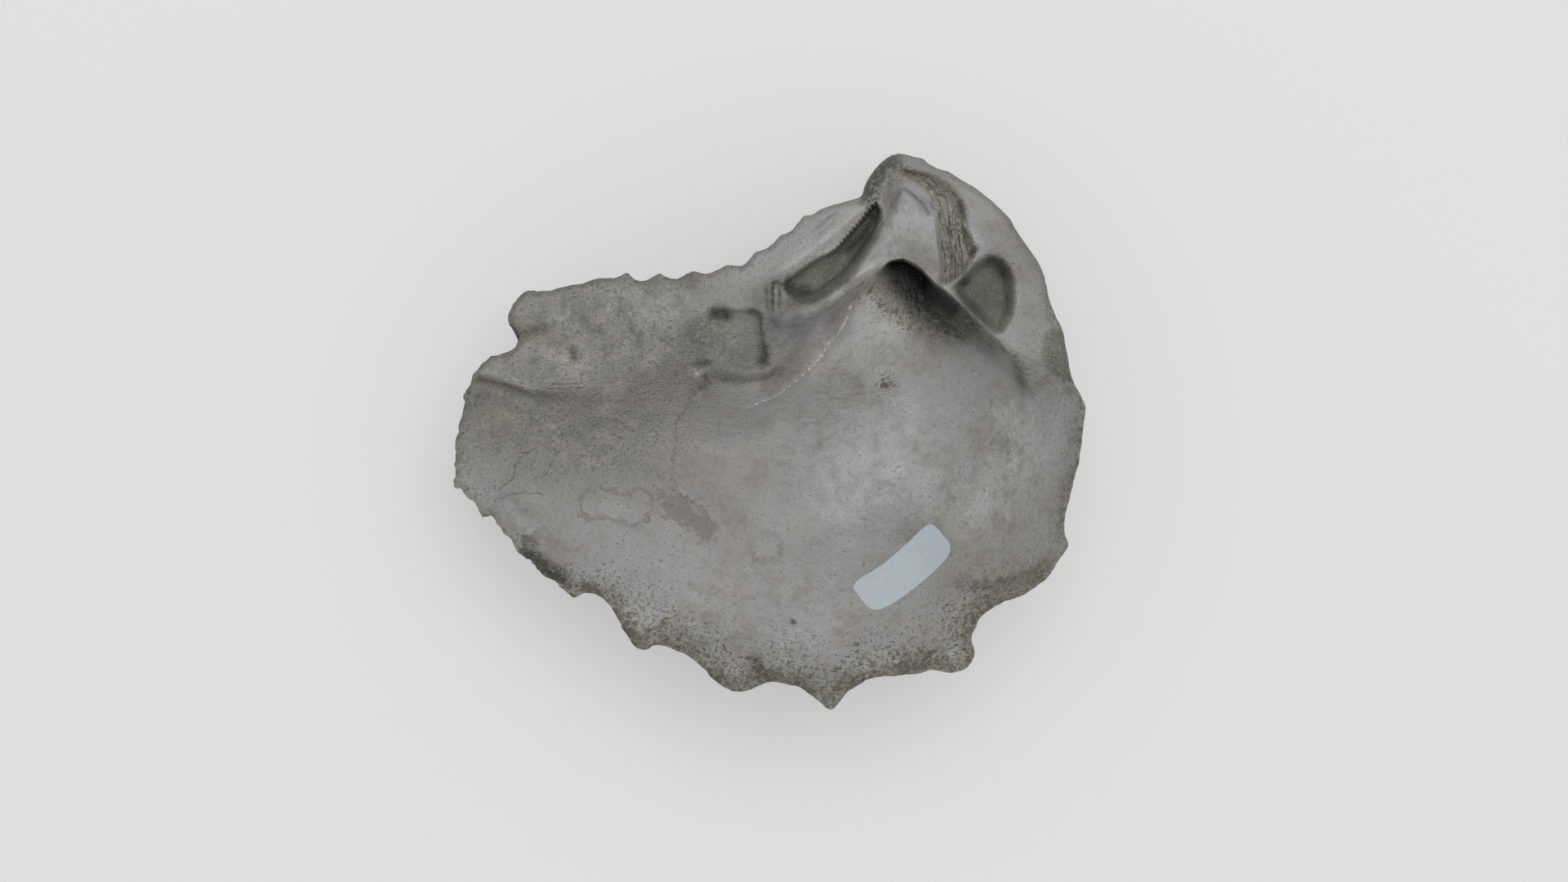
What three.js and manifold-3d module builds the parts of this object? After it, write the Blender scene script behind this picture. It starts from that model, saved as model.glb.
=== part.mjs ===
// Fossil of Linotrigonia thoracica: the left valve of a trigoniid clam, lying on its ribbed back with the
// hollow side up. It grew in one piece, so it is one solid: a thin ribbed bowl with a heavy hinge plate,
// whose big tooth stands between two sockets under the beak.
//
// The valve is laid out on a picture taken straight down on its hollow side. Places on it are pixels of
// that picture, x to the right and y down, and heights are millimetres above the plane of its margin.

import * as THREE from "three";
import { mergeVertices } from "three/addons/utils/BufferGeometryUtils.js";
import Module from "manifold-3d";

// Driving sizes, in millimetres.
const VALVE_LENGTH = 72;
const INFLATION = 18.4; // depth of the back's dome below its own edge
const WALL = 2.4; // thickness of the bowl at its deepest
const EDGE_THICKNESS = 1.1;
const BACK_ROUNDING = 1.6; // width over which the back rounds in to the edge
const RIB_HEIGHT = 1.3;
const COSTELLA_HEIGHT = 0.4; // the finer ribs above the keel
const KEEL_HEIGHT = 0.7;
const EYE_DISTANCE = 423; // from the margin plane to the eye of the picture

// How the valve lies: turns about the picture's two axes, in degrees, and then a shift in mm that brings
// it over the origin. The crests of the lowest ribs are worn flat where they touch the ground.
const REST_TURN = [-1.1, -3.5];
const REST_SHIFT = [1.498, -1.281, 19.7];

// The picture: its middle and the valve's length in it, in pixels.
const PICTURE_CENTRE = [960, 540];
const LENGTH_IN_PICTURE = 772;
const MM_PER_PIXEL = VALVE_LENGTH / LENGTH_IN_PICTURE;

// The back's grid has a line along each rib crest and three between two crests. The inner side's rings
// run from the edge to the sill of the hinge, over the sill, and down the bowl, where every second line
// stops.
const RIBS = 18;
const COLUMNS_PER_RIB = 4;
const BACK_ROWS = 24;
const EDGE_RINGS = 12;
const BOWL_RINGS = 5;

// Belly edge, from the umbo round the front to the hind end. Each line is a rib's tip and the three
// points that lead on to the next tip.
const BELLY_EDGE = [
  [[1100, 188], [1107, 189], [1115, 191], [1123, 193]],
  [[1131, 195], [1138, 201], [1146, 206], [1154, 208]],
  [[1163, 211], [1178, 221], [1198, 233], [1217, 249]],
  [[1235, 266], [1244, 282], [1256, 299], [1267, 315]],
  [[1276, 331], [1281, 350], [1286, 370], [1293, 388]],
  [[1301, 403], [1306, 430], [1312, 460], [1322, 482]],
  [[1329, 500], [1327, 520], [1325, 540], [1322, 560]],
  [[1317, 580], [1311, 606], [1304, 636], [1304, 654]],
  [[1307, 669], [1294, 690], [1280, 709], [1265, 721]],
  [[1252, 729], [1225, 739], [1200, 756], [1190, 784]],
  [[1194, 803], [1184, 818], [1163, 824], [1143, 820]],
  [[1116, 826], [1088, 828], [1060, 833], [1036, 850]],
  [[1018, 869], [1000, 856], [974, 840], [938, 836]],
  [[907, 848], [880, 837], [853, 811], [813, 790]],
  [[783, 795], [766, 773], [753, 745], [722, 725]],
  [[701, 730], [683, 714], [665, 703], [650, 686]],
  [[641, 684], [629, 666], [614, 649], [600, 631]],
  [[590, 633], [582, 616], [573, 609], [565, 598]],
  [[558, 598]],
].flat();

// Hinge edge, from the umbo back to the hind end, where the finer ribs of the back end in a wavy line.
const HINGE_EDGE = [
  [[1100, 188], [1096, 189], [1092, 190], [1088, 192]],
  [[1084, 195], [1078, 200], [1073, 206], [1068, 212]],
  [[1064, 217], [1061, 224], [1058, 231], [1056, 238]],
  [[1052, 242], [1046, 244], [1039, 246], [1032, 248]],
  [[1026, 250], [1021, 251], [1015, 253], [1009, 255]],
  [[1004, 257], [999, 260], [994, 263], [989, 264]],
  [[984, 265], [977, 274], [969, 282], [961, 286]],
  [[955, 288], [949, 295], [941, 303], [932, 306]],
  [[924, 309], [917, 318], [908, 325], [898, 325]],
  [[889, 325], [879, 331], [868, 335], [859, 334]],
  [[849, 332], [840, 336], [829, 341], [817, 340]],
  [[808, 335], [800, 339], [789, 343], [778, 342]],
  [[768, 335], [760, 338], [752, 341], [745, 341]],
  [[738, 341], [726, 343], [714, 347], [707, 348]],
  [[700, 349], [692, 351], [684, 353], [676, 355]],
  [[668, 356], [661, 357], [655, 357], [648, 357]],
  [[641, 358], [637, 363], [634, 367], [630, 371]],
  [[627, 375], [625, 379], [623, 383], [622, 387]],
  [[622, 391]],
].flat();

// Hind edge, from the hinge side to the belly side.
const HIND_EDGE = [
  [622, 391], [624, 399], [630, 405], [635, 413], [634, 423], [624, 431], [612, 435], [600, 439],
  [589, 447], [580, 461], [573, 478], [568, 496], [563, 520], [559, 542], [557, 561], [557, 580],
  [558, 598],
];

// The sill, a line across the inner side that has a point for each rib tip of the edge. Under the beak it
// is the rim of the hinge plate, which overhangs the bowl, and elsewhere it lies within the bowl.
const HINGE_SILL = [
  [1106, 316], [1090, 319], [1074, 331], [1055, 346], [1036, 359], [1018, 374], [1004, 396], [994, 420],
  [978, 444], [950, 462], [914, 474], [874, 480], [834, 484], [796, 487], [762, 490], [734, 493],
  [712, 498], [698, 506], [690, 516],
];
const BELLY_SILL = [
  [1106, 316], [1126, 326], [1142, 342], [1165, 360], [1195, 390], [1227, 421], [1262, 480], [1264, 556],
  [1240, 622], [1195, 672], [1140, 715], [1080, 746], [1006, 760], [926, 750], [846, 718], [786, 680],
  [742, 646], [710, 612], [694, 586],
];
const HIND_SILL = [[690, 516], [682, 534], [680, 552], [684, 570], [694, 586]];

// The overhang of the sill over the bowl: its reach in mm, and the ribs between which it ends.
const OVERHANG = 5;
const HINGE_OVERHANG_END = [0.8, 2.4];
const BELLY_OVERHANG_END = [1.4, 3];

// The bowl is deepest here, and the keel on its back runs from the beak to the hind end. The rings of the
// inner side close on a point nearer the middle of the belly.
const DEEPEST = [1050, 500];
const RING_CENTRE = [1000, 560];
const KEEL = [
  [1092, 180], [1072, 240], [1040, 305], [1000, 372], [950, 428], [880, 464], [800, 482], [700, 490],
  [600, 484], [540, 478],
];

// Height of the margin above its plane and the width over which the inner side rounds in to it, in mm, at
// each rib from the umbo. They hold for the last value onwards.
const BELLY_EDGE_HEIGHT = [-8.5, -8, -7, -5, -3.4, -2.2, -1.5, -1.2, -1.1];
const HINGE_EDGE_HEIGHT = [-8.5, -8, -6.6, -4, -2.4, -1.8, -1.4, -1.1];
const BELLY_EDGE_ROUNDING = [4.4, 4, 3.4, 3, 2.4, 1.7, 1];
const HINGE_EDGE_ROUNDING = [4.4, 4, 3, 1.6, 1];

// Hinge plate and its parts. Heights and depths are in mm.
const PLATE = [
  [1100, 120], [1020, 180], [960, 230], [860, 290], [740, 310], [600, 320], [560, 400], [640, 410],
  [740, 392], [850, 376], [915, 388], [945, 397], [975, 394], [1005, 378], [1040, 356], [1071, 334],
  [1089, 320], [1106, 316], [1126, 326], [1142, 342], [1165, 360], [1195, 390], [1227, 421], [1246, 445],
  [1266, 480], [1290, 540], [1360, 550], [1370, 400], [1320, 280], [1220, 170],
];
const PLATE_HEIGHT = { underBeak: -0.7, behind: -1.5, from: 1000, to: 780 };
const PLATE_SIDE_SLOPE = [[880, 0.55], [934, 0.9], [966, 1.4], [1015, 3], [1043, 4.5], [1070, 5]];
const PLATE_SIDE_ONSET = [[880, 4], [960, 1.5], [1040, 0.3]]; // mm over which the side starts to fall
const PLATE_SIDE_CURVE = 0.05; // mm of extra fall for each square mm of the way from the plate
const PLATE_FRONT_END = { fall: 8, fromY: 425, toY: 515, fromX: 1140, toX: 1200 };
const TOOTH = [
  [1106, 232], [1119, 242], [1129, 253], [1142, 261], [1154, 267], [1158, 290], [1162, 322],
  [1162, 352], [1140, 358], [1100, 345], [1070, 345], [1048, 346], [1040, 342], [1048, 326],
  [1066, 303], [1086, 270], [1096, 248],
];
const TOOTH_HEIGHT = 3.4;
const TOOTH_RIM = [[1080, 3.6], [1112, 1.4]]; // width of the flank in mm, by x
const FACET = [
  [1106, 209], [1124, 212], [1144, 217], [1161, 226], [1171, 240], [1178, 256], [1184, 276],
  [1190, 296], [1191, 312], [1184, 328], [1172, 342], [1158, 350], [1150, 348], [1153, 332],
  [1151, 312], [1148, 288], [1145, 266], [1141, 249], [1131, 233], [1117, 221],
];
const FACET_HEIGHT = [[1143, 0.9], [1160, -0.6], [1180, -2.2], [1192, -2.4]]; // across the facet, by x
const FACET_TOP = { height: -1.7, fromY: 222, toY: 272 };
const FACET_RIM = 1;

// Behind the deep hollow under the beak the bowl rises in a slope to the foot of the plate: its height there,
// its fall for each mm of way, the width of the bend into the bowl, and the extra fall inside the hollow.
const FOOT = [[1078, 330], [1064, 343], [1046, 356], [1031, 366], [1014, 382], [1002, 402]];
const FOOT_HEIGHT = -3;
const FOOT_SLOPE = 1.1;
const FOOT_ROUNDING = 6;
const HOLLOW = [
  [1070, 290], [1078, 326], [1092, 350], [1115, 376], [1150, 404], [1200, 436], [1260, 470],
  [1320, 400], [1200, 290],
];
const HOLLOW_SLOPE = 2;

// Hollows: outline, the part of it with a steep wall, widths of the steep and of the soft wall, and depth
// by x.
const SOCKET = {
  area: [
    [1071, 249], [1080, 258], [1081, 273], [1075, 292], [1064, 310], [1054, 327], [1042, 343],
    [1027, 355], [1009, 367], [990, 372], [972, 370], [965, 362], [960, 352], [962, 342],
    [976, 333], [997, 318], [1020, 306], [1034, 292], [1052, 271],
  ],
  steepEdge: [[1071, 248], [1052, 268], [1034, 288], [1016, 306], [990, 326], [964, 341], [956, 352]],
  walls: [1, 2.2],
  depth: [[1010, 2.2], [1060, 3.4]],
};
const PIT = {
  area: [
    [1168, 350], [1180, 335], [1194, 320], [1214, 312], [1232, 320], [1243, 340], [1245, 366],
    [1240, 391], [1229, 407], [1218, 409], [1206, 399], [1190, 382], [1174, 366],
  ],
  steepEdge: [[1196, 308], [1216, 308], [1234, 317], [1245, 338], [1247, 366], [1241, 395]],
  walls: [1.6, 1.4],
  depth: [[1200, 2.6]],
};
const HIND_SCAR = {
  area: [
    [868, 380], [884, 376], [902, 379], [924, 378], [932, 384], [934, 402], [937, 422], [942, 440],
    [937, 452], [922, 457], [900, 462], [878, 458], [862, 449], [846, 434], [841, 414], [846, 398],
  ],
  steepEdge: [[890, 379], [926, 378], [931, 390], [938, 430], [942, 448], [925, 458]],
  walls: [0.8, 2.4],
  depth: [[900, 1]],
};

// Ridges and grooves of the inner side: path in pixels, half width in mm, height in mm.
const RELIEF = {
  nymph: [[[1066, 243], [1040, 266], [1010, 291], [980, 314], [950, 336], [928, 350]], 0.9, 1.1],
  ligamentGroove: [[[1046, 252], [1026, 264], [1008, 281], [985, 302], [955, 324]], 0.7, -0.5],
  toothLimb: [[[1078, 316], [1050, 337], [1024, 359], [994, 379], [958, 387]], 1.1, 1.4],
  limbEnd: [[[975, 384], [950, 388], [938, 384]], 0.8, 0.4],
  toothGroove: [[[1109, 256], [1105, 276], [1106, 300], [1112, 320]], 1, -0.4],
  toothTop: [[[1094, 256], [1099, 245], [1106, 233], [1116, 241], [1126, 250]], 0.5, 0.5],
  socketLip: [[[1143, 346], [1151, 350], [1162, 349], [1174, 341], [1185, 328], [1191, 314]], 0.5, 1],
  facetKnob: [[[1172, 266], [1180, 277], [1188, 290]], 0.6, 1],
  frontLedge: [[[1149, 349], [1167, 363], [1184, 380], [1202, 397], [1219, 414]], 0.6, 0.7],
  beakCrevice: [[[1100, 208], [1114, 212], [1130, 219], [1148, 226]], 0.8, -1],
  beakFurrow: [[[1060, 242], [1076, 240], [1090, 228], [1100, 214]], 1.2, -0.9],
  beakSide: [[[1070, 232], [1080, 215], [1094, 200]], 0.9, -0.4],
  block: [[[944, 354], [949, 364], [950, 374]], 1.1, 0.7],
  pillar: [[[956, 412], [966, 424], [960, 442]], 0.9, 0.5],
  pillarGroove: [
    [[1010, 384], [990, 414], [984, 429], [971, 440], [958, 453], [940, 462], [905, 468], [870, 460]],
    0.7, -0.75,
  ],
  scarKnob: [[[850, 456], [854, 463]], 0.7, 1],
  scarHollow: [[[872, 381], [882, 383], [893, 386]], 0.8, -0.9],
  hindRidge: [[[578, 453], [600, 459], [625, 466], [650, 474], [690, 480]], 1, 0.5],
  hindGroove: [[[576, 463], [600, 468], [616, 472], [634, 479], [655, 485], [690, 491]], 0.8, -0.6],
  hindGrooveEnd: [[[660, 485], [704, 493], [750, 495]], 1, -0.35],
  chippedEdge: [[[648, 676], [664, 690], [688, 706]], 0.8, -0.9],
  lowKnob: [[[1156, 801], [1168, 794], [1176, 796]], 1, 0.9],
};

const clamp = (x, low = 0, high = 1) => Math.min(high, Math.max(low, x));
const mix = (a, b, share) => a + (b - a) * share;
const mixPoints = (a, b, share) => [mix(a[0], b[0], share), mix(a[1], b[1], share)];
const smoothstep = (low, high, x) => {
  const share = clamp((x - low) / (high - low));
  return share * share * (3 - 2 * share);
};

// A smooth curve through evenly spaced points, at a place from 0 at the first to 1 at the last.
function along(points, place) {
  const at = clamp(place) * (points.length - 1);
  const k = Math.min(Math.floor(at), points.length - 2);
  const p = (n) => points[clamp(n, 0, points.length - 1)];
  const u = at - k;
  return [0, 1].map((axis) => {
    const [a, b, c, d] = [p(k - 1)[axis], p(k)[axis], p(k + 1)[axis], p(k + 2)[axis]];
    return b + 0.5 * u * (c - a + u * (2 * a - 5 * b + 4 * c - d + u * (3 * (b - c) + d - a)));
  });
}

// The value of a list given rib by rib, at a rib number that may lie between two of them.
function atRib(list, rib) {
  const k = Math.min(Math.floor(rib), list.length - 1);
  return mix(list[k], list[Math.min(k + 1, list.length - 1)], clamp(rib - k));
}

// The value at x of a list of [x, value] pairs, with straight lines between them.
function across(pairs, x) {
  const next = pairs.findIndex(([at]) => at > x);
  if (next === 0) return pairs[0][1];
  if (next === -1) return pairs.at(-1)[1];
  const [[x0, a], [x1, b]] = [pairs[next - 1], pairs[next]];
  return mix(a, b, (x - x0) / (x1 - x0));
}

// An open path rounded by the smooth curve, and a closed outline rounded in the same way, both with three
// short steps between two points. The outline's last point is its first.
const STEPS = 3;
function smoothLine(points) {
  const count = STEPS * (points.length - 1);
  return Array.from({ length: count + 1 }, (_, k) => along(points, k / count));
}
function smoothOutline(points) {
  const wrapped = [...points.slice(-2), ...points, ...points.slice(0, 2)];
  const places = Array.from({ length: STEPS * points.length + 1 }, (_, k) => 2 + k / STEPS);
  return places.map((place) => along(wrapped, place / (wrapped.length - 1)));
}

// Distance in mm from a pixel to a path, how far along the path its nearest point is, in mm, and there the
// share of the way from one point of the path to the next.
function nearest(path, [x, y]) {
  let best = { distance: Infinity };
  let walked = 0;
  for (let k = 0; k < path.length - 1; k++) {
    const [ax, ay] = path[k];
    const [bx, by] = path[k + 1];
    const length = Math.hypot(bx - ax, by - ay);
    const share = clamp(((x - ax) * (bx - ax) + (y - ay) * (by - ay)) / length ** 2);
    const distance = Math.hypot(x - mix(ax, bx, share), y - mix(ay, by, share)) * MM_PER_PIXEL;
    const place = (walked + share * length) * MM_PER_PIXEL;
    if (distance < best.distance) best = { distance, place, k, share };
    walked += length;
  }
  return best;
}
const distanceTo = (path, pixel) => nearest(path, pixel).distance;

// Distance in mm from a pixel to the rim of an area, positive inside it. The area's last point is its
// first.
function depthInside(area, [x, y]) {
  let inside = false;
  for (let k = 0; k < area.length - 1; k++) {
    const [[ax, ay], [bx, by]] = [area[k], area[k + 1]];
    if (ay > y !== by > y && x < ((bx - ax) * (y - ay)) / (by - ay) + ax) inside = !inside;
  }
  return distanceTo(area, [x, y]) * (inside ? 1 : -1);
}

// 1 inside an area and 0 outside it, with a soft rim of that width in mm.
const cover = (area, pixel, rim) => smoothstep(-rim / 2, rim / 2, depthInside(area, pixel));

// A ridge or groove along a path, with a bell-shaped section and tapering ends.
const LINES = Object.values(RELIEF).map(([path, halfWidth, height]) => {
  const line = smoothLine(path);
  return { line, halfWidth, height, length: nearest(line, line.at(-1)).place };
});
function relief({ line, halfWidth, height, length }, pixel) {
  const { distance, place } = nearest(line, pixel);
  const taper = smoothstep(0, 0.12, place / length) * smoothstep(0, 0.25, 1 - place / length);
  return height * mix(0.25, 1, taper) * Math.exp(-((distance / halfWidth) ** 2));
}

// How far a hollow sinks, in mm. Its wall is steep along one edge and soft elsewhere.
const rounded = (hollow) => ({
  ...hollow,
  area: smoothOutline(hollow.area),
  steepEdge: smoothLine(hollow.steepEdge),
});
function sunk({ area, steepEdge, walls: [steep, soft], depth }, pixel) {
  const inside = depthInside(area, pixel);
  const far = distanceTo(steepEdge, pixel) - Math.max(inside, 0);
  const share = smoothstep(-0.1, 1, inside / mix(steep, soft, smoothstep(0.4, 2.2, far)));
  return across(depth, pixel[0]) * share;
}

// The edge as one loop, from the umbo down the front, along the belly, up the hind end and back along the
// hinge. Each stop has its pixel, its margin height, its rounding, the point of the sill that it faces and
// how strongly the sill overhangs there.
const COLUMNS = RIBS * COLUMNS_PER_RIB;
const overhangAt = ([from, to], rib) => 1 - smoothstep(from, to, rib);
function bellyStop(rib) {
  return {
    pixel: along(BELLY_EDGE, rib / RIBS),
    margin: atRib(BELLY_EDGE_HEIGHT, rib),
    rounding: atRib(BELLY_EDGE_ROUNDING, rib),
    sill: along(BELLY_SILL, rib / RIBS),
    overhang: overhangAt(BELLY_OVERHANG_END, rib),
  };
}
function hingeStop(rib) {
  return {
    pixel: along(HINGE_EDGE, rib / RIBS),
    margin: atRib(HINGE_EDGE_HEIGHT, rib),
    rounding: atRib(HINGE_EDGE_ROUNDING, rib),
    sill: along(HINGE_SILL, rib / RIBS),
    overhang: overhangAt(HINGE_OVERHANG_END, rib),
  };
}
function hindStop(share) {
  return { ...bellyStop(RIBS), pixel: along(HIND_EDGE, share), sill: along(HIND_SILL, share) };
}
const EDGE = [
  ...Array.from({ length: COLUMNS }, (_, i) => bellyStop(i / COLUMNS_PER_RIB)),
  ...Array.from({ length: BACK_ROWS }, (_, j) => hindStop(1 - j / BACK_ROWS)),
  ...Array.from({ length: COLUMNS }, (_, i) => hingeStop((COLUMNS - i) / COLUMNS_PER_RIB)),
];
const OUTLINE = [...EDGE, EDGE[0]].map((stop) => stop.pixel);

// The edge as seen from the deepest point: its distance and the height of its margin at even directions.
// They are averaged over a width in directions that takes out the waves of the ribs.
const DIRECTIONS = 720;
const WAVE_WIDTH = 28;
const TURN = 2 * Math.PI;
const directionOf = ([x, y]) => Math.atan2(DEEPEST[1] - y, x - DEEPEST[0]);
const distanceFromDeepest = ([x, y]) => Math.hypot(x - DEEPEST[0], y - DEEPEST[1]);
const WAVY_EDGE = EDGE.map(({ pixel, margin }) => ({
  direction: directionOf(pixel),
  reach: distanceFromDeepest(pixel),
  margin,
})).sort((a, b) => a.direction - b.direction);
const WAVY_AROUND = Array.from({ length: DIRECTIONS }, (_, k) => {
  const direction = (k * TURN) / DIRECTIONS - Math.PI;
  const next = WAVY_EDGE.findIndex((stop) => stop.direction > direction);
  const b = WAVY_EDGE[Math.max(next, 0)];
  const a = WAVY_EDGE.at(next === -1 ? -1 : next - 1);
  const share = ((direction - a.direction + TURN) % TURN) / ((b.direction - a.direction + TURN) % TURN);
  return { reach: mix(a.reach, b.reach, share), margin: mix(a.margin, b.margin, share) };
});
const AROUND = WAVY_AROUND.map((_, k) => {
  let [reach, margin, total] = [0, 0, 0];
  for (let step = -WAVE_WIDTH; step <= WAVE_WIDTH; step++) {
    const weight = 0.5 + 0.5 * Math.cos((Math.PI * step) / WAVE_WIDTH);
    const stop = WAVY_AROUND[(k + step + DIRECTIONS) % DIRECTIONS];
    reach += weight * stop.reach;
    margin += weight * stop.margin;
    total += weight;
  }
  return { reach: reach / total, margin: margin / total };
});

// The edge's values in the direction of a pixel.
function edgeTowards(pixel) {
  const place = ((directionOf(pixel) + Math.PI) / TURN) * DIRECTIONS;
  const [a, b] = [AROUND[Math.floor(place) % DIRECTIONS], AROUND[Math.ceil(place) % DIRECTIONS]];
  const share = place - Math.floor(place);
  return { reach: mix(a.reach, b.reach, share), margin: mix(a.margin, b.margin, share) };
}

// Distance in mm above the keel, towards the hinge, and negative below it.
const KEEL_LINE = smoothLine(KEEL);
const HINGE_SIDE = [...KEEL_LINE, [500, 100], KEEL[0]];
function aboveKeel(pixel) {
  return distanceTo(KEEL_LINE, pixel) * (depthInside(HINGE_SIDE, pixel) > 0 ? 1 : -1);
}

// A dome's height as a share, and the height of the margin in the same direction. The dome falls from 1 at
// the deepest point to 0 at the edge, more evenly towards the hind end, and is lower beyond the keel. The
// keel is a sharp bend of the back and a soft one of the bowl.
const SHELF_SHARE = 0.46;
const BACK_BEND = [-1.5, 8]; // mm above the keel between which the dome gets lower
const BOWL_BEND = [-7, 8];
const EDGE_FADE = 3; // the power by which the margin's own height dies out towards the deepest point
function dome(pixel, bend, power) {
  const { reach, margin } = edgeTowards(pixel);
  const distance = distanceFromDeepest(pixel);
  const out = clamp(distance / reach);
  const hindward = smoothstep(0.1, 1, (DEEPEST[0] - pixel[0]) / Math.max(distance, 1));
  const shelf = mix(1, SHELF_SHARE, smoothstep(...bend, aboveKeel(pixel)));
  const share = (1 - out ** mix(2.2, 1.5, hindward)) ** power * shelf;
  return { share, margin: margin * out ** EDGE_FADE };
}

// The larger of two heights, with the corner between them rounded over that many mm.
function roundedMax(a, b, round) {
  const overlap = Math.max(round - Math.abs(a - b), 0) / round;
  return Math.max(a, b) + (overlap ** 2 * round) / 4;
}

// The bowl: the inside of the dome, and the slope up to the foot of the plate. The edge lies on it.
const FOOT_LINE = smoothLine(FOOT);
const HOLLOW_OUTLINE = smoothOutline(HOLLOW);
function bowlHeight(pixel) {
  const { share, margin } = dome(pixel, BOWL_BEND, 1.1);
  const bowl = margin - (INFLATION + EDGE_THICKNESS - WALL) * share;
  const inside = depthInside(HOLLOW_OUTLINE, pixel);
  const drop = (HOLLOW_SLOPE * (inside + Math.hypot(inside, 1))) / 2;
  const slope = FOOT_HEIGHT - FOOT_SLOPE * distanceTo(FOOT_LINE, pixel) - drop;
  return roundedMax(bowl, slope, FOOT_ROUNDING);
}
for (const stop of EDGE) stop.height = bowlHeight(stop.pixel);

// Distance in mm to the edge, and the height and the rounding of the edge at its nearest point.
function edgeBeside(pixel) {
  const { distance, k, share } = nearest(OUTLINE, pixel);
  const [a, b] = [EDGE[k], EDGE[(k + 1) % EDGE.length]];
  return {
    distance,
    height: mix(a.height, b.height, share),
    rounding: mix(a.rounding, b.rounding, share),
  };
}

// The share by which a surface has come away from its edge: a quarter circle over that width in mm.
const roundedIn = (distance, width) => Math.sqrt(1 - (1 - clamp(distance / width)) ** 2);

// The smooth back: a dome, rounder at the umbo than at the thin edge elsewhere.
function backHeight(pixel) {
  const nearUmbo = 1 - smoothstep(2, 18, distanceTo([HINGE_EDGE[0], HINGE_EDGE[4]], pixel));
  const { share, margin } = dome(pixel, BACK_BEND, mix(0.8, 0.55, nearUmbo));
  const { distance, height } = edgeBeside(pixel);
  return mix(height, margin - INFLATION * share - EDGE_THICKNESS, roundedIn(distance, BACK_ROUNDING));
}

// The hinge plate with its tooth, sockets and scar, and its side, which falls away into the bowl.
const PLATE_OUTLINE = [...PLATE, PLATE[0]];
const TOOTH_OUTLINE = smoothOutline(TOOTH);
const FACET_OUTLINE = smoothOutline(FACET);
const [ROUNDED_SOCKET, ROUNDED_PIT, ROUNDED_SCAR] = [SOCKET, PIT, HIND_SCAR].map(rounded);
function plateHeight(pixel) {
  const [x, y] = pixel;
  const behind = smoothstep(PLATE_HEIGHT.from, PLATE_HEIGHT.to, x);
  let height = mix(PLATE_HEIGHT.underBeak, PLATE_HEIGHT.behind, behind);
  const onset = across(PLATE_SIDE_ONSET, x);
  const beyond = Math.hypot(Math.max(0, -depthInside(PLATE_OUTLINE, pixel)), onset) - onset;
  height -= across(PLATE_SIDE_SLOPE, x) * beyond + PLATE_SIDE_CURVE * beyond ** 2;
  const { fall, fromY, toY, fromX, toX } = PLATE_FRONT_END;
  height -= fall * smoothstep(fromY, toY, y) * smoothstep(fromX, toX, x);
  height += TOOTH_HEIGHT * cover(TOOTH_OUTLINE, pixel, across(TOOTH_RIM, x));
  height -= sunk(ROUNDED_SOCKET, pixel);
  const facet = mix(FACET_TOP.height, across(FACET_HEIGHT, x), smoothstep(FACET_TOP.fromY, FACET_TOP.toY, y));
  height = mix(height, facet, cover(FACET_OUTLINE, pixel, FACET_RIM));
  return height - sunk(ROUNDED_PIT, pixel);
}

// Height of the inner side at a pixel. Where bare is 1, only the bowl counts. The rounded edge comes last.
const PLATE_CORNER = [[960, 4], [1030, 2.5], [1075, 0.8]]; // rounding at the foot of the plate, by x
function innerHeight(pixel, bare = 0) {
  const bowl = bowlHeight(pixel);
  let height = roundedMax(bowl, plateHeight(pixel), across(PLATE_CORNER, pixel[0]));
  height -= sunk(ROUNDED_SCAR, pixel);
  for (const ridge of LINES) height += relief(ridge, pixel);
  const edge = edgeBeside(pixel);
  return mix(edge.height, mix(height, bowl, bare), roundedIn(edge.distance, edge.rounding));
}

// A point of the valve from its pixel and its height. The eye of the picture is near, so a point that
// lies deeper stands further out than it looks.
function pointAt([x, y], height) {
  const spread = MM_PER_PIXEL * (1 - height / EYE_DISTANCE);
  return new THREE.Vector3(
    (x - PICTURE_CENTRE[0]) * spread,
    (PICTURE_CENTRE[1] - y) * spread,
    height,
  );
}

// The closed surface is a list of vertices and of triangles between them.
class Surface {
  positions = [];
  triangles = [];

  add(point) {
    this.positions.push(point.x, point.y, point.z);
    return this.positions.length / 3 - 1;
  }

  face(a, b, c) {
    if (a !== b && b !== c && a !== c) this.triangles.push(a, b, c);
  }

  geometry() {
    const geometry = new THREE.BufferGeometry();
    geometry.setAttribute("position", new THREE.Float32BufferAttribute(this.positions, 3));
    geometry.setIndex(this.triangles);
    return geometry;
  }
}

// Where a rib line is, share of the way from the hinge edge to the belly edge. The lines bow towards the
// hind end, as the ribs do, and the last ones take on the shape of the hind edge.
const BOW = 0.1;
const HIND_FAN = 4;
function bowedLine(rib, share) {
  const top = along(HINGE_EDGE, rib / RIBS);
  const low = along(BELLY_EDGE, rib / RIBS);
  const bend = 4 * share * (1 - share) * BOW;
  const [x, y] = mixPoints(top, low, share);
  return [x - bend * (low[1] - top[1]), y + bend * (low[0] - top[0])];
}
function ribLine(rib, share) {
  const [x, y] = bowedLine(rib, share);
  const [lastX, lastY] = bowedLine(RIBS, share);
  const [hindX, hindY] = along(HIND_EDGE, share);
  const fan = smoothstep(RIBS - HIND_FAN, RIBS, rib);
  return [x + fan * (hindX - lastX), y + fan * (hindY - lastY)];
}

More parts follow.
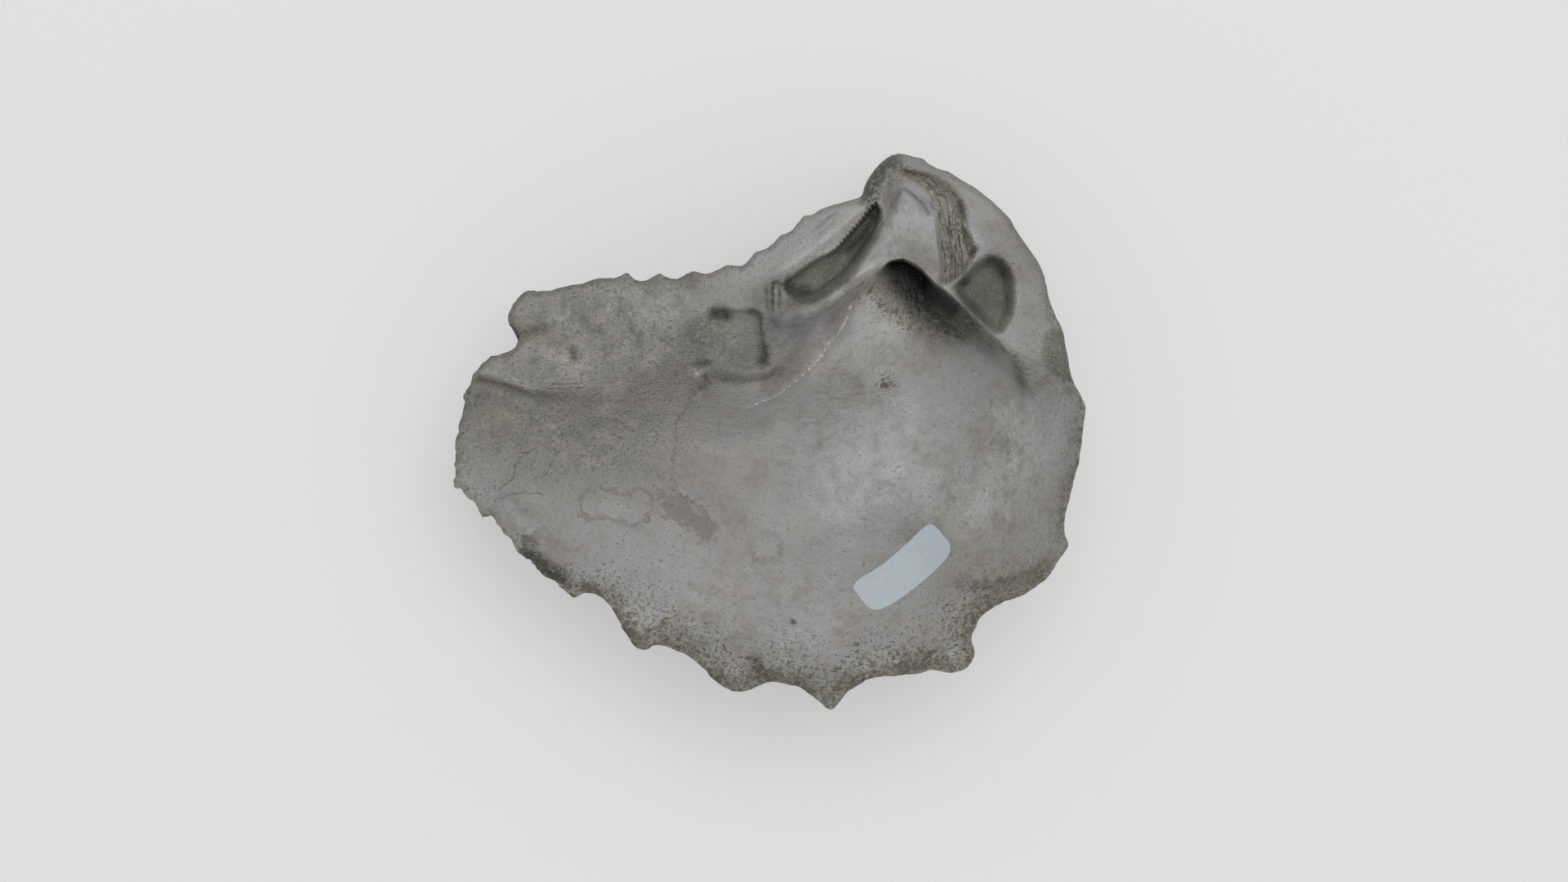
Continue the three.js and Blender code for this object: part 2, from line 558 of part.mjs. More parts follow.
// How far the ribs stand out of the back, in mm. They run from the keel to the belly edge and carry a row
// of knobs. Above the keel are finer ribs, the costellae.
const KNOBS = BACK_ROWS / 2;
function ribHeight(rib, share, pixel) {
  const crest = (0.5 + 0.5 * Math.cos(2 * Math.PI * rib)) ** 1.5;
  const below = 1 - smoothstep(-1.5, 0.5, aboveKeel(pixel));
  const growth = smoothstep(0, 6, rib) * (1 - 0.5 * smoothstep(13, 18, rib));
  const knob = 1 + 0.2 * Math.cos(2 * Math.PI * KNOBS * share);
  const costella = COSTELLA_HEIGHT * smoothstep(3, 8, rib);
  const fade = smoothstep(0, 2, distanceTo(OUTLINE, pixel));
  const keel = KEEL_HEIGHT * smoothstep(2, 6, rib) * Math.exp(-(aboveKeel(pixel) ** 2));
  return fade * (keel + crest * mix(costella, RIB_HEIGHT * growth * knob, below));
}

// The ribbed back: its grid, whose edge vertices the inner side shares.
function addBack(surface) {
  const grid = [];
  for (let i = 0; i <= COLUMNS; i++) {
    grid.push([]);
    for (let j = 0; j <= BACK_ROWS; j++) {
      const rib = i / COLUMNS_PER_RIB;
      const share = j / BACK_ROWS;
      const pixel = ribLine(rib, share);
      const onEdge = i === 0 || i === COLUMNS || j === 0 || j === BACK_ROWS;
      const point = pointAt(pixel, backHeight(pixel));
      grid[i].push({ rib, share, pixel, onEdge, point });
    }
  }
  const normalAt = (i, j) => {
    const down = grid[i + 1][j].point.clone().sub(grid[i - 1][j].point);
    const across = grid[i][j + 1].point.clone().sub(grid[i][j - 1].point);
    return across.cross(down).normalize();
  };
  const tip = surface.add(grid[0][0].point);
  const back = grid.map((column, i) =>
    column.map(({ rib, share, pixel, onEdge, point }, j) => {
      if (i === 0) return tip;
      const raised = point.clone();
      if (!onEdge) raised.addScaledVector(normalAt(i, j), ribHeight(rib, share, pixel));
      return surface.add(raised);
    }),
  );
  for (let i = 0; i < COLUMNS; i++)
    for (let j = 0; j < BACK_ROWS; j++) {
      surface.face(back[i][j], back[i + 1][j + 1], back[i + 1][j]);
      surface.face(back[i][j], back[i][j + 1], back[i + 1][j + 1]);
    }
  return [
    ...back.slice(0, COLUMNS).map((column) => column[BACK_ROWS]),
    ...back[COLUMNS].slice(1).reverse(),
    ...back.slice(1).reverse().map((column) => column[0]),
  ];
}

// The steps over the sill. Under the beak they turn back below the plate, out by a share of the overhang
// and down by a share of the way from the plate to the bowl. Elsewhere they go on into the bowl.
const SILL_STEPS = [
  { back: -0.06, down: 0.12, onward: 0.7 },
  { back: 0.55, down: 0.3, onward: 1.4 },
  { back: 1, down: 0.7, onward: 2.1 },
  { back: 0.7, down: 1, onward: 2.8 },
];
function sillStep(stop, { back, down, onward }) {
  const outward = [stop.sill[0] - RING_CENTRE[0], stop.sill[1] - RING_CENTRE[1]];
  const length = Math.hypot(...outward) * MM_PER_PIXEL;
  const move = mix(-onward, back * OVERHANG, stop.overhang) / length;
  const pixel = [stop.sill[0] + outward[0] * move, stop.sill[1] + outward[1] * move];
  const floor = innerHeight(pixel, 1);
  const height = mix(innerHeight(pixel), mix(innerHeight(stop.sill), floor, down), stop.overhang);
  return { pixel, height };
}

// The inner side, ring by ring from the edge to the centre of the rings.
function addInnerSide(surface, edgeVertices) {
  const lay = ({ pixel, height }) => surface.add(pointAt(pixel, height));
  const rings = [edgeVertices];
  for (let ring = 1; ring <= EDGE_RINGS; ring++) {
    const pixels = EDGE.map((stop) => mixPoints(stop.pixel, stop.sill, (ring / EDGE_RINGS) ** 1.1));
    rings.push(pixels.map((pixel) => lay({ pixel, height: innerHeight(pixel) })));
  }
  for (const step of SILL_STEPS) rings.push(EDGE.map((stop) => lay(sillStep(stop, step))));
  for (let r = 0; r < rings.length - 1; r++)
    EDGE.forEach((_, k) => {
      const next = (k + 1) % EDGE.length;
      surface.face(rings[r][k], rings[r + 1][k], rings[r + 1][next]);
      surface.face(rings[r][k], rings[r + 1][next], rings[r][next]);
    });

  const foot = EDGE.filter((_, k) => k % 2 === 0).map((stop) => sillStep(stop, SILL_STEPS.at(-1)));
  const bowlRings = [];
  for (let ring = 1; ring <= BOWL_RINGS; ring++) {
    const pixels = foot.map(({ pixel }) => mixPoints(pixel, RING_CENTRE, ring / (BOWL_RINGS + 1)));
    const bare = (k) => EDGE[2 * k].overhang;
    bowlRings.push(pixels.map((pixel, k) => lay({ pixel, height: innerHeight(pixel, bare(k)) })));
  }
  const last = rings.at(-1);
  const centre = lay({ pixel: RING_CENTRE, height: innerHeight(RING_CENTRE) });
  foot.forEach((_, k) => {
    const next = (k + 1) % foot.length;
    const [a, b, c] = [last[2 * k], last[2 * k + 1], last[(2 * k + 2) % last.length]];
    surface.face(a, bowlRings[0][k], b);
    surface.face(b, bowlRings[0][k], bowlRings[0][next]);
    surface.face(b, bowlRings[0][next], c);
    for (let r = 0; r < BOWL_RINGS - 1; r++) {
      surface.face(bowlRings[r][k], bowlRings[r + 1][k], bowlRings[r + 1][next]);
      surface.face(bowlRings[r][k], bowlRings[r + 1][next], bowlRings[r][next]);
    }
    surface.face(bowlRings.at(-1)[k], centre, bowlRings.at(-1)[next]);
  });
}

const wasm = await Module();
wasm.setup();

// A closed mesh as a solid for cutting.
function solidOf(geometry) {
  const bare = geometry.clone();
  bare.deleteAttribute("normal");
  bare.deleteAttribute("uv");
  const merged = mergeVertices(bare, 1e-4);
  return new wasm.Manifold(
    new wasm.Mesh({
      numProp: 3,
      vertProperties: merged.getAttribute("position").array,
      triVerts: new Uint32Array(merged.getIndex().array),
    }),
  );
}

function geometryOf(solid) {
  const mesh = solid.getMesh();
  const geometry = new THREE.BufferGeometry();
  geometry.setAttribute("position", new THREE.BufferAttribute(mesh.vertProperties, 3));
  geometry.setIndex(new THREE.BufferAttribute(mesh.triVerts, 1));
  return geometry;
}

// The valve turned to lie on its back, with the rib crests it rests on worn flat.
function restingValve() {
  const surface = new Surface();
  addInnerSide(surface, addBack(surface));
  const [turnX, turnY] = REST_TURN.map(THREE.MathUtils.degToRad);
  const valve = surface
    .geometry()
    .applyMatrix4(new THREE.Matrix4().makeRotationFromEuler(new THREE.Euler(turnX, turnY, 0)))
    .translate(...REST_SHIFT);
  const ground = new THREE.BoxGeometry(200, 200, 20).translate(0, 0, -10);
  return geometryOf(solidOf(valve).subtract(solidOf(ground)));
}

const valve = new THREE.Mesh(
  restingValve(),
  new THREE.MeshStandardMaterial({ color: 0x969590, roughness: 0.78, metalness: 0, flatShading: true }),
);
valve.name = "left_valve";

const fossil = new THREE.Group();
fossil.add(valve);

export default fossil;
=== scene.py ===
# The left valve of a fossil Linotrigonia thoracica, as it lies on its ribbed back with the hollow side up.
import math

import bpy
import numpy as np
from mathutils import Matrix, Vector


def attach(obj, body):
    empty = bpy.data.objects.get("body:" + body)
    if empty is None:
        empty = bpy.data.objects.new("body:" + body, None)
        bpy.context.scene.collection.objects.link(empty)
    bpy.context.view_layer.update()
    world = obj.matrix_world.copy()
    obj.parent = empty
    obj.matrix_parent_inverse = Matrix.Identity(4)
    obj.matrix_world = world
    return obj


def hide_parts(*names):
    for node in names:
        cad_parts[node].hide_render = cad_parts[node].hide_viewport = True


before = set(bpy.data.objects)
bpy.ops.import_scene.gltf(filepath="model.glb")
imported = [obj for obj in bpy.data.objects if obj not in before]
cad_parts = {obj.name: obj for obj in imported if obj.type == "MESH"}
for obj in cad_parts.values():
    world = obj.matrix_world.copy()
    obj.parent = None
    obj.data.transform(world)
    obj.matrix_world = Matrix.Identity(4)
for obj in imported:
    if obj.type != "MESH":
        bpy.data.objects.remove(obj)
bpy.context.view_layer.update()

# THE PICTURE AND THE WAY THE VALVE LIES
# The valve is laid out on a picture taken straight down on its hollow side. Places are pixels of that
# picture, x right and y down, and heights are millimetres above the plane of the valve's margin.
VALVE_LENGTH = 72.0
PICTURE_WIDTH = 1920
PICTURE_CENTRE = np.array([960.0, 540.0])
MM_PER_PIXEL = VALVE_LENGTH / 772
LENS, SENSOR = 85.0, 36.0
EYE_DISTANCE = MM_PER_PIXEL * PICTURE_WIDTH * LENS / SENSOR
TURN_X, TURN_Y = math.radians(-1.1), math.radians(-3.5)
REST_TURN = np.array(Matrix.Rotation(TURN_X, 3, "X") @ Matrix.Rotation(TURN_Y, 3, "Y"))
REST_SHIFT = np.array([1.498, -1.281, 19.7])


def lying(points):
    """Points of the valve in mm, turned and shifted to where it lies, in metres."""
    return (points @ REST_TURN.T + REST_SHIFT) / 1000


def points_at(pixels, heights):
    """Pixels and heights as points in mm. The eye is near, so a point that lies deeper stands further out
    from the middle of the picture than it looks."""
    spread = MM_PER_PIXEL * (1 - heights / EYE_DISTANCE)
    x = (pixels[:, 0] - PICTURE_CENTRE[0]) * spread
    y = (PICTURE_CENTRE[1] - pixels[:, 1]) * spread
    return np.column_stack([x, y, heights])


# THE EDGE
# The thin margin of the shell, where it grew, with a scallop at the end of each rib. It runs from the umbo
# round the front to the hind end, and along the hinge, where finer ribs end in a wavy line. The whole valve
# is one body of calcite, turned to stone.
RIBS = 18
BELLY_EDGE = np.array([
    (1100, 188), (1107, 189), (1115, 191), (1123, 193), (1131, 195), (1138, 201), (1146, 206), (1154, 208),
    (1163, 211), (1178, 221), (1198, 233), (1217, 249), (1235, 266), (1244, 282), (1256, 299), (1267, 315),
    (1276, 331), (1281, 350), (1286, 370), (1293, 388), (1301, 403), (1306, 430), (1312, 460), (1322, 482),
    (1329, 500), (1327, 520), (1325, 540), (1322, 560), (1317, 580), (1311, 606), (1304, 636), (1304, 654),
    (1307, 669), (1294, 690), (1280, 709), (1265, 721), (1252, 729), (1225, 739), (1200, 756), (1190, 784),
    (1194, 803), (1184, 818), (1163, 824), (1143, 820), (1116, 826), (1088, 828), (1060, 833), (1036, 850),
    (1018, 869), (1000, 856), (974, 840), (938, 836), (907, 848), (880, 837), (853, 811), (813, 790),
    (783, 795), (766, 773), (753, 745), (722, 725), (701, 730), (683, 714), (665, 703), (650, 686),
    (641, 684), (629, 666), (614, 649), (600, 631), (590, 633), (582, 616), (573, 609), (565, 598),
    (558, 598),
], float)
HINGE_EDGE = np.array([
    (1100, 188), (1096, 189), (1092, 190), (1088, 192), (1084, 195), (1078, 200), (1073, 206), (1068, 212),
    (1064, 217), (1061, 224), (1058, 231), (1056, 238), (1052, 242), (1046, 244), (1039, 246), (1032, 248),
    (1026, 250), (1021, 251), (1015, 253), (1009, 255), (1004, 257), (999, 260), (994, 263), (989, 264),
    (984, 265), (977, 274), (969, 282), (961, 286), (955, 288), (949, 295), (941, 303), (932, 306),
    (924, 309), (917, 318), (908, 325), (898, 325), (889, 325), (879, 331), (868, 335), (859, 334),
    (849, 332), (840, 336), (829, 341), (817, 340), (808, 335), (800, 339), (789, 343), (778, 342),
    (768, 335), (760, 338), (752, 341), (745, 341), (738, 341), (726, 343), (714, 347), (707, 348),
    (700, 349), (692, 351), (684, 353), (676, 355), (668, 356), (661, 357), (655, 357), (648, 357),
    (641, 358), (637, 363), (634, 367), (630, 371), (627, 375), (625, 379), (623, 383), (622, 387),
    (622, 391),
], float)
HIND_EDGE = np.array([
    (622, 391), (624, 399), (630, 405), (635, 413), (634, 423), (624, 431), (612, 435), (600, 439),
    (589, 447), (580, 461), (573, 478), (568, 496), (563, 520), (559, 542), (557, 561), (557, 580),
    (558, 598),
], float)
BELLY_EDGE_HEIGHT = [-8.5, -8, -7, -5, -3.4, -2.2, -1.5, -1.2, -1.1]
HINGE_EDGE_HEIGHT = [-8.5, -8, -6.6, -4, -2.4, -1.8, -1.4, -1.1]
BELLY_EDGE_ROUNDING = [4.4, 4, 3.4, 3, 2.4, 1.7, 1]
HINGE_EDGE_ROUNDING = [4.4, 4, 3, 1.6, 1]

# The sill is a line across the inner side with a point for each rib tip of the edge. Under the beak it is
# the rim of the hinge plate, which overhangs the bowl. Elsewhere it lies within the bowl.
HINGE_SILL = np.array([
    (1106, 316), (1090, 319), (1074, 331), (1055, 346), (1036, 359), (1018, 374), (1004, 396), (994, 420),
    (978, 444), (950, 462), (914, 474), (874, 480), (834, 484), (796, 487), (762, 490), (734, 493),
    (712, 498), (698, 506), (690, 516),
], float)
BELLY_SILL = np.array([
    (1106, 316), (1126, 326), (1142, 342), (1165, 360), (1195, 390), (1227, 421), (1262, 480), (1264, 556),
    (1240, 622), (1195, 672), (1140, 715), (1080, 746), (1006, 760), (926, 750), (846, 718), (786, 680),
    (742, 646), (710, 612), (694, 586),
], float)
HIND_SILL = np.array([(690, 516), (682, 534), (680, 552), (684, 570), (694, 586)], float)
RING_CENTRE = np.array([1000.0, 560.0])
OVERHANG = 5.0
HINGE_OVERHANG_END = (0.8, 2.4)
BELLY_OVERHANG_END = (1.4, 3)

COLUMNS_PER_RIB = 20
COLUMNS = RIBS * COLUMNS_PER_RIB
BACK_ROWS = 80


def mix(a, b, share):
    return a + (b - a) * share


def smoothstep(low, high, x):
    share = np.clip((x - low) / (high - low), 0, 1)
    return share * share * (3 - 2 * share)


def along(points, place):
    """A smooth curve through evenly spaced points, at places from 0 at the first to 1 at the last: the
    Catmull-Rom cubic through the four points around each place."""
    last = len(points) - 1
    at = np.clip(place, 0, 1) * last
    k = np.minimum(at.astype(int), last - 1)
    u = (at - k)[:, None]
    a, b, c, d = (points[np.clip(k + n, 0, last)] for n in (-1, 0, 1, 2))
    return b + 0.5 * u * (c - a + u * (2 * a - 5 * b + 4 * c - d + u * (3 * (b - c) + d - a)))


def line(*points):
    """An open path through points, rounded by the same cubic, with six short steps between two points."""
    points = np.array(points, float)
    return along(points, np.linspace(0, 1, 6 * (len(points) - 1) + 1))


def patch(*points):
    """A closed outline through points, rounded in the same way. Its last point is its first."""
    points = np.array(points, float)
    wrapped = np.concatenate([points[-2:], points, points[:2]])
    place = (2 + np.arange(6 * len(points) + 1) / 6) / (len(points) + 3)
    return along(wrapped, place)


def at_rib(values, rib):
    """The value of a list given rib by rib, at rib numbers that may lie between two of them."""
    return np.interp(rib, np.arange(len(values)), values)


def noise(pixels, size, seed):
    """Smooth random values from -1 to 1 over the picture, whose patches are size mm across: a random value
    at each corner of a square lattice, blended between the corners."""
    at = pixels * MM_PER_PIXEL / size + 57.31 * seed
    cell = np.floor(at).astype(np.int64)
    u = at - cell
    u = u * u * (3 - 2 * u)

    def corner(dx, dy):
        mixed = (cell[:, 0] + dx) * 374761393 + (cell[:, 1] + dy) * 668265263 + seed * 2147483647
        mixed = (mixed ^ (mixed >> 13)) * 1274126177 & 0xFFFFFFFF
        return ((mixed ^ (mixed >> 16)) & 0xFFFF) / 32767.5 - 1

    top = mix(corner(0, 0), corner(1, 0), u[:, 0])
    low = mix(corner(0, 1), corner(1, 1), u[:, 0])
    return mix(top, low, u[:, 1])


def rough(pixels, size, seed, octaves=3):
    """Noise of several sizes added up, each half the size and half the strength of the one before."""
    return sum(noise(pixels, size / 2**n, seed + n) / 2**n for n in range(octaves)) / 1.5


def nearest(path, pixels):
    """Distance in mm from pixels to a path, and how far along the path its nearest point is, in mm."""
    best = np.full(len(pixels), np.inf)
    place = np.zeros(len(pixels))
    walked = 0.0
    for start, end in zip(path[:-1], path[1:]):
        way = end - start
        length = np.hypot(*way)
        share = np.clip(((pixels - start) @ way) / length**2, 0, 1)
        gap = pixels - start - share[:, None] * way
        gap = np.einsum("ij,ij->i", gap, gap)
        closer = gap < best
        best = np.where(closer, gap, best)
        place = np.where(closer, walked + share * length, place)
        walked += length
    return np.sqrt(best) * MM_PER_PIXEL, place * MM_PER_PIXEL


def depth_inside(area, pixels):
    """Distance in mm from pixels to the rim of a closed outline, positive inside it."""
    x, y = pixels.T
    inside = np.zeros(len(pixels), bool)
    for (ax, ay), (bx, by) in zip(area[:-1], area[1:]):
        if ay != by:
            inside ^= ((ay > y) != (by > y)) & (x < (bx - ax) * (y - ay) / (by - ay) + ax)
    return nearest(area, pixels)[0] * np.where(inside, 1, -1)


ribs_down = np.arange(COLUMNS) / COLUMNS_PER_RIB
ribs_back = (COLUMNS - np.arange(COLUMNS)) / COLUMNS_PER_RIB
hind_shares = 1 - np.arange(BACK_ROWS) / BACK_ROWS
at_hind = np.full(BACK_ROWS, float(RIBS))


def round_line(belly, hind, hinge):
    """Points for each vertex of the edge, from three lines: down the front and the belly, up the hind end
    and back along the hinge."""
    ways = ((belly, ribs_down / RIBS), (hind, hind_shares), (hinge, ribs_back / RIBS))
    return np.concatenate([along(points, place) for points, place in ways])


def round_values(belly, hinge):
    """Values for each vertex of the edge, from two lists given rib by rib."""
    ways = ((belly, ribs_down), (belly, at_hind), (hinge, ribs_back))
    return np.concatenate([at_rib(values, rib) for values, rib in ways])


edge_pixels = round_line(BELLY_EDGE, HIND_EDGE, HINGE_EDGE)
sill_pixels = round_line(BELLY_SILL, HIND_SILL, HINGE_SILL)
margin_heights = round_values(BELLY_EDGE_HEIGHT, HINGE_EDGE_HEIGHT)
edge_roundings = round_values(BELLY_EDGE_ROUNDING, HINGE_EDGE_ROUNDING)
edge_overhangs = np.concatenate([
    1 - smoothstep(*BELLY_OVERHANG_END, ribs_down),
    np.zeros(BACK_ROWS),
    1 - smoothstep(*HINGE_OVERHANG_END, ribs_back),
])
edge_chips = np.concatenate([
    np.interp(ribs_down, [0, 8, 13, 14.5, 17, 18], [0.05, 0.13, 0.18, 0.3, 0.4, 0.4]),
    np.interp(hind_shares, [0, 0.3, 1], [0.15, 0.35, 0.45]),
    np.interp(ribs_back, [0, 8, 18], [0.04, 0.1, 0.15]),
])

# The rim is chipped all round, most of all at the thin hind end.
edge_outward = np.roll(edge_pixels, 1, axis=0) - np.roll(edge_pixels, -1, axis=0)
edge_outward = edge_outward[:, ::-1] * [1, -1]
edge_outward /= np.linalg.norm(edge_outward, axis=1, keepdims=True) * MM_PER_PIXEL
chips = edge_chips * (rough(edge_pixels, 1.1, 3) + np.minimum(rough(edge_pixels, 0.6, 8) + 0.3, 0))
edge_pixels = edge_pixels + edge_outward * chips[:, None]
outline = np.vstack([edge_pixels, edge_pixels[:1]])

# Seen from the deepest point, the edge has a direction and a distance without the waves of the ribs.
DEEPEST = np.array([1050.0, 500.0])
edge_offsets = edge_pixels - DEEPEST
edge_directions = np.arctan2(-edge_offsets[:, 1], edge_offsets[:, 0])
edge_reaches = np.hypot(*edge_offsets.T)
in_order = np.argsort(edge_directions)
DIRECTIONS = 720
WAVE_WIDTH = 28
directions_round = np.arange(DIRECTIONS) * 2 * np.pi / DIRECTIONS - np.pi


def even_round(values):
    """A value of the edge at even directions, averaged over a width of 28 directions, or 14 degrees."""
    at_directions = np.interp(directions_round, edge_directions[in_order], values[in_order], period=2 * np.pi)
    weights = np.hanning(2 * WAVE_WIDTH + 1)
    wrapped = np.concatenate([at_directions[-WAVE_WIDTH:], at_directions, at_directions[:WAVE_WIDTH]])
    return np.convolve(wrapped, weights / weights.sum(), mode="valid")


even_reaches = even_round(edge_reaches)
even_margins = even_round(margin_heights)

KEEL = line(
    (1092, 180), (1072, 240), (1040, 305), (1000, 372), (950, 428), (880, 464), (800, 482), (700, 490),
    (600, 484), (540, 478),
)
HINGE_SIDE = np.vstack([KEEL, [(500, 100), (1092, 100), (1092, 180)]])


def above_keel(pixels):
    """Distance in mm above the keel, towards the hinge, and negative below it."""
    return nearest(KEEL, pixels)[0] * np.where(depth_inside(HINGE_SIDE, pixels) > 0, 1, -1)


# The share of the depth that is left on the hinge's side of the keel, and where it changes, in mm above
# the keel. The keel is a sharp bend of the back, and a soft one of the bowl.
SHELF_SHARE = 0.46
BACK_BEND = (-1.5, 8)
BOWL_BEND = (-7, 8)
EDGE_FADE = 3
DOME_CURVES = (2.2, 1.5)
BOWL_POWER = 1.1
BACK_POWERS = (0.8, 0.55)


def dome(pixels, bend, power):
    """A dome's height as a share, and the height of the margin in the same direction. The dome falls from
    1 at the deepest point to 0 at the edge as (1 - out^p)^power, where out is the share of the way and p
    is lower towards the hind end, and it is lower beyond the keel."""
    offsets = pixels - DEEPEST
    distance = np.hypot(*offsets.T)
    directions = np.arctan2(-offsets[:, 1], offsets[:, 0])
    reach, margin = (
        np.interp(directions, directions_round, values, period=2 * np.pi)
        for values in (even_reaches, even_margins)
    )
    out = np.clip(distance / reach, 0, 1)
    hindward = smoothstep(0.1, 1, -offsets[:, 0] / np.maximum(distance, 1))
    shelf = mix(1, SHELF_SHARE, smoothstep(*bend, above_keel(pixels)))
    return (1 - out ** mix(*DOME_CURVES, hindward)) ** power * shelf, margin * out**EDGE_FADE


def rounded_max(a, b, width):
    """The larger of two heights, with the corner between them rounded over that many mm."""
    overlap = np.maximum(width - np.abs(a - b), 0) / width
    return np.maximum(a, b) + overlap**2 * width / 4


# The swelling of the back, and the shell's thickness where it is deepest and at its edge, in mm.
INFLATION = 18.4
WALL = 2.4
EDGE_THICKNESS = 1.1

# Behind the deep hollow under the beak the bowl rises to the foot of the plate in a slope.
FOOT = line((1078, 330), (1064, 343), (1046, 356), (1031, 366), (1014, 382), (1002, 402))
FOOT_HEIGHT = -3.0
FOOT_SLOPE = 1.1
FOOT_ROUNDING = 6
HOLLOW = patch(
    (1070, 290), (1078, 326), (1092, 350), (1115, 376), (1150, 404), (1200, 436), (1260, 470), (1320, 400),
    (1200, 290),
)
HOLLOW_SLOPE = 2.0


def bowl_height(pixels):
    """The inside of the dome, thickest where it is deepest, and the slope up to the foot of the plate."""
    share, margin = dome(pixels, BOWL_BEND, BOWL_POWER)
    bowl = margin - (INFLATION + EDGE_THICKNESS - WALL) * share
    inside = depth_inside(HOLLOW, pixels)
    drop = HOLLOW_SLOPE * (inside + np.hypot(inside, 1)) / 2
    slope = FOOT_HEIGHT - FOOT_SLOPE * nearest(FOOT, pixels)[0] - drop
    return rounded_max(bowl, slope, FOOT_ROUNDING)


edge_heights = bowl_height(edge_pixels)

# THE BACK
# The outside of the shell: a swollen dome with a keel from the beak to the hind end. Below the keel are
# oblique ribs with rows of knobs, and above it, to the hinge edge, a flatter area with fine ribs. The valve
# lies free on the worn crests of its ribs.
BACK_ROUNDING = 1.6
RIB_HEIGHT = 1.3
COSTELLA_HEIGHT = 0.4
KEEL_HEIGHT = 0.7
KNOBS = 18
KNOB_SHARE = 0.2
BOW = 0.1
HIND_FAN = 4


def places_along(path):
    """How far along a path each of its points is, in mm."""
    steps = np.linalg.norm(np.diff(path, axis=0), axis=1) * MM_PER_PIXEL
    return np.concatenate([[0], np.cumsum(steps)])


def edge_beside(pixels):
    """Distance in mm to the edge, and the height and the rounding of the edge at its nearest point."""
    distance, place = nearest(outline, pixels)
    height, rounding = (
        np.interp(place, places_along(outline), np.append(values, values[0]))
        for values in (edge_heights, edge_roundings)
    )
    return distance, height, rounding


def rounded_in(distance, width):
    """The share by which a surface has come away from its edge: a quarter circle over that width in mm."""
    return np.sqrt(1 - (1 - np.clip(distance / width, 0, 1)) ** 2)


def back_height(pixels):
    """Height of the smooth back: a dome, lower on the area above the keel and rounder at the umbo."""
    near_umbo = 1 - smoothstep(2, 18, nearest(HINGE_EDGE[[0, 4]], pixels)[0])
    share, margin = dome(pixels, BACK_BEND, mix(*BACK_POWERS, near_umbo))
    distance, height, _ = edge_beside(pixels)
    smooth_back = margin - INFLATION * share - EDGE_THICKNESS
    return mix(height, smooth_back, rounded_in(distance, BACK_ROUNDING))


def rib_lines(rib, share):
    """Pixels on the ribs' lines, share of the way from the hinge edge to the belly edge. The lines bow
    towards the hind end, and the last ones take on the shape of the hind edge."""

    def bowed(rib):
        top = along(HINGE_EDGE, rib / RIBS)
        low = along(BELLY_EDGE, rib / RIBS)
        bend = (4 * share * (1 - share) * BOW)[:, None]
        across = np.column_stack([top[:, 1] - low[:, 1], low[:, 0] - top[:, 0]])
        return mix(top, low, share[:, None]) + bend * across

    to_hind_edge = along(HIND_EDGE, share) - bowed(np.full(len(share), float(RIBS)))
    return bowed(rib) + to_hind_edge * smoothstep(RIBS - HIND_FAN, RIBS, rib)[:, None]


def rib_height(rib, share, pixels):
    """How far the ribs, the keel and the fine ribs stand out of the back, in mm."""
    crest = (0.5 + 0.5 * np.cos(2 * np.pi * rib)) ** 1.5
    keel_distance = above_keel(pixels)
    below = 1 - smoothstep(-1.5, 0.5, keel_distance)
    growth = smoothstep(0, 6, rib) * (1 - 0.5 * smoothstep(13, 18, rib))
    knob = 1 + KNOB_SHARE * np.cos(2 * np.pi * KNOBS * share)
    costella = COSTELLA_HEIGHT * smoothstep(3, 8, rib)
    fade = smoothstep(0, 2, nearest(outline, pixels)[0])
    keel = KEEL_HEIGHT * smoothstep(2, 6, rib) * np.exp(-(keel_distance**2))
    return fade * (keel + crest * mix(costella, RIB_HEIGHT * growth * knob, below))


# The grid of the back: a column of places along each rib's line, and columns between the ribs. Its outer
# places are those of the edge.
column, row = np.meshgrid(np.arange(COLUMNS + 1), np.arange(BACK_ROWS + 1), indexing="ij")
back_rib = column.ravel() / COLUMNS_PER_RIB
back_share = row.ravel() / BACK_ROWS
back_pixels = rib_lines(back_rib, back_share).reshape(COLUMNS + 1, BACK_ROWS + 1, 2)
back_pixels[:COLUMNS, BACK_ROWS] = edge_pixels[:COLUMNS]
back_pixels[COLUMNS, :0:-1] = edge_pixels[COLUMNS:COLUMNS + BACK_ROWS]
back_pixels[:0:-1, 0] = edge_pixels[COLUMNS + BACK_ROWS:]
back_pixels = back_pixels.reshape(-1, 2)
back_smooth = points_at(back_pixels, back_height(back_pixels))
grid = back_smooth.reshape(COLUMNS + 1, BACK_ROWS + 1, 3)
outward = np.zeros_like(grid)
outward[1:-1, 1:-1] = np.cross(grid[1:-1, 2:] - grid[1:-1, :-2], grid[2:, 1:-1] - grid[:-2, 1:-1])
outward /= np.maximum(np.linalg.norm(outward, axis=2, keepdims=True), 1e-9)
outward = outward.reshape(-1, 3)
stand = rib_height(back_rib, back_share, back_pixels)
back_points = back_smooth + outward * stand[:, None]

# THE INNER SIDE
# The hollow of the shell and its hinge plate. Under the beak stands the big tooth, smooth in front and
# striped on its side, between a long socket and a pit, the scar of the front muscle. The scar of the hind
# muscle is a square flat further back. It all grew as one with the back, and mud still fills its hollows.
PLATE = np.array([
    (1100, 120), (1020, 180), (960, 230), (860, 290), (740, 310), (600, 320), (560, 400), (640, 410),
    (740, 392), (850, 376), (915, 388), (945, 397), (975, 394), (1005, 378), (1040, 356), (1071, 334),
    (1089, 320), (1106, 316), (1126, 326), (1142, 342), (1165, 360), (1195, 390), (1227, 421), (1246, 445),
    (1266, 480), (1290, 540), (1360, 550), (1370, 400), (1320, 280), (1220, 170), (1100, 120),
], float)
PLATE_HEIGHT_UNDER_BEAK, PLATE_HEIGHT_BEHIND = -0.7, -1.5
FRONT_DROP = 8
SIDE_CURVE = 0.05
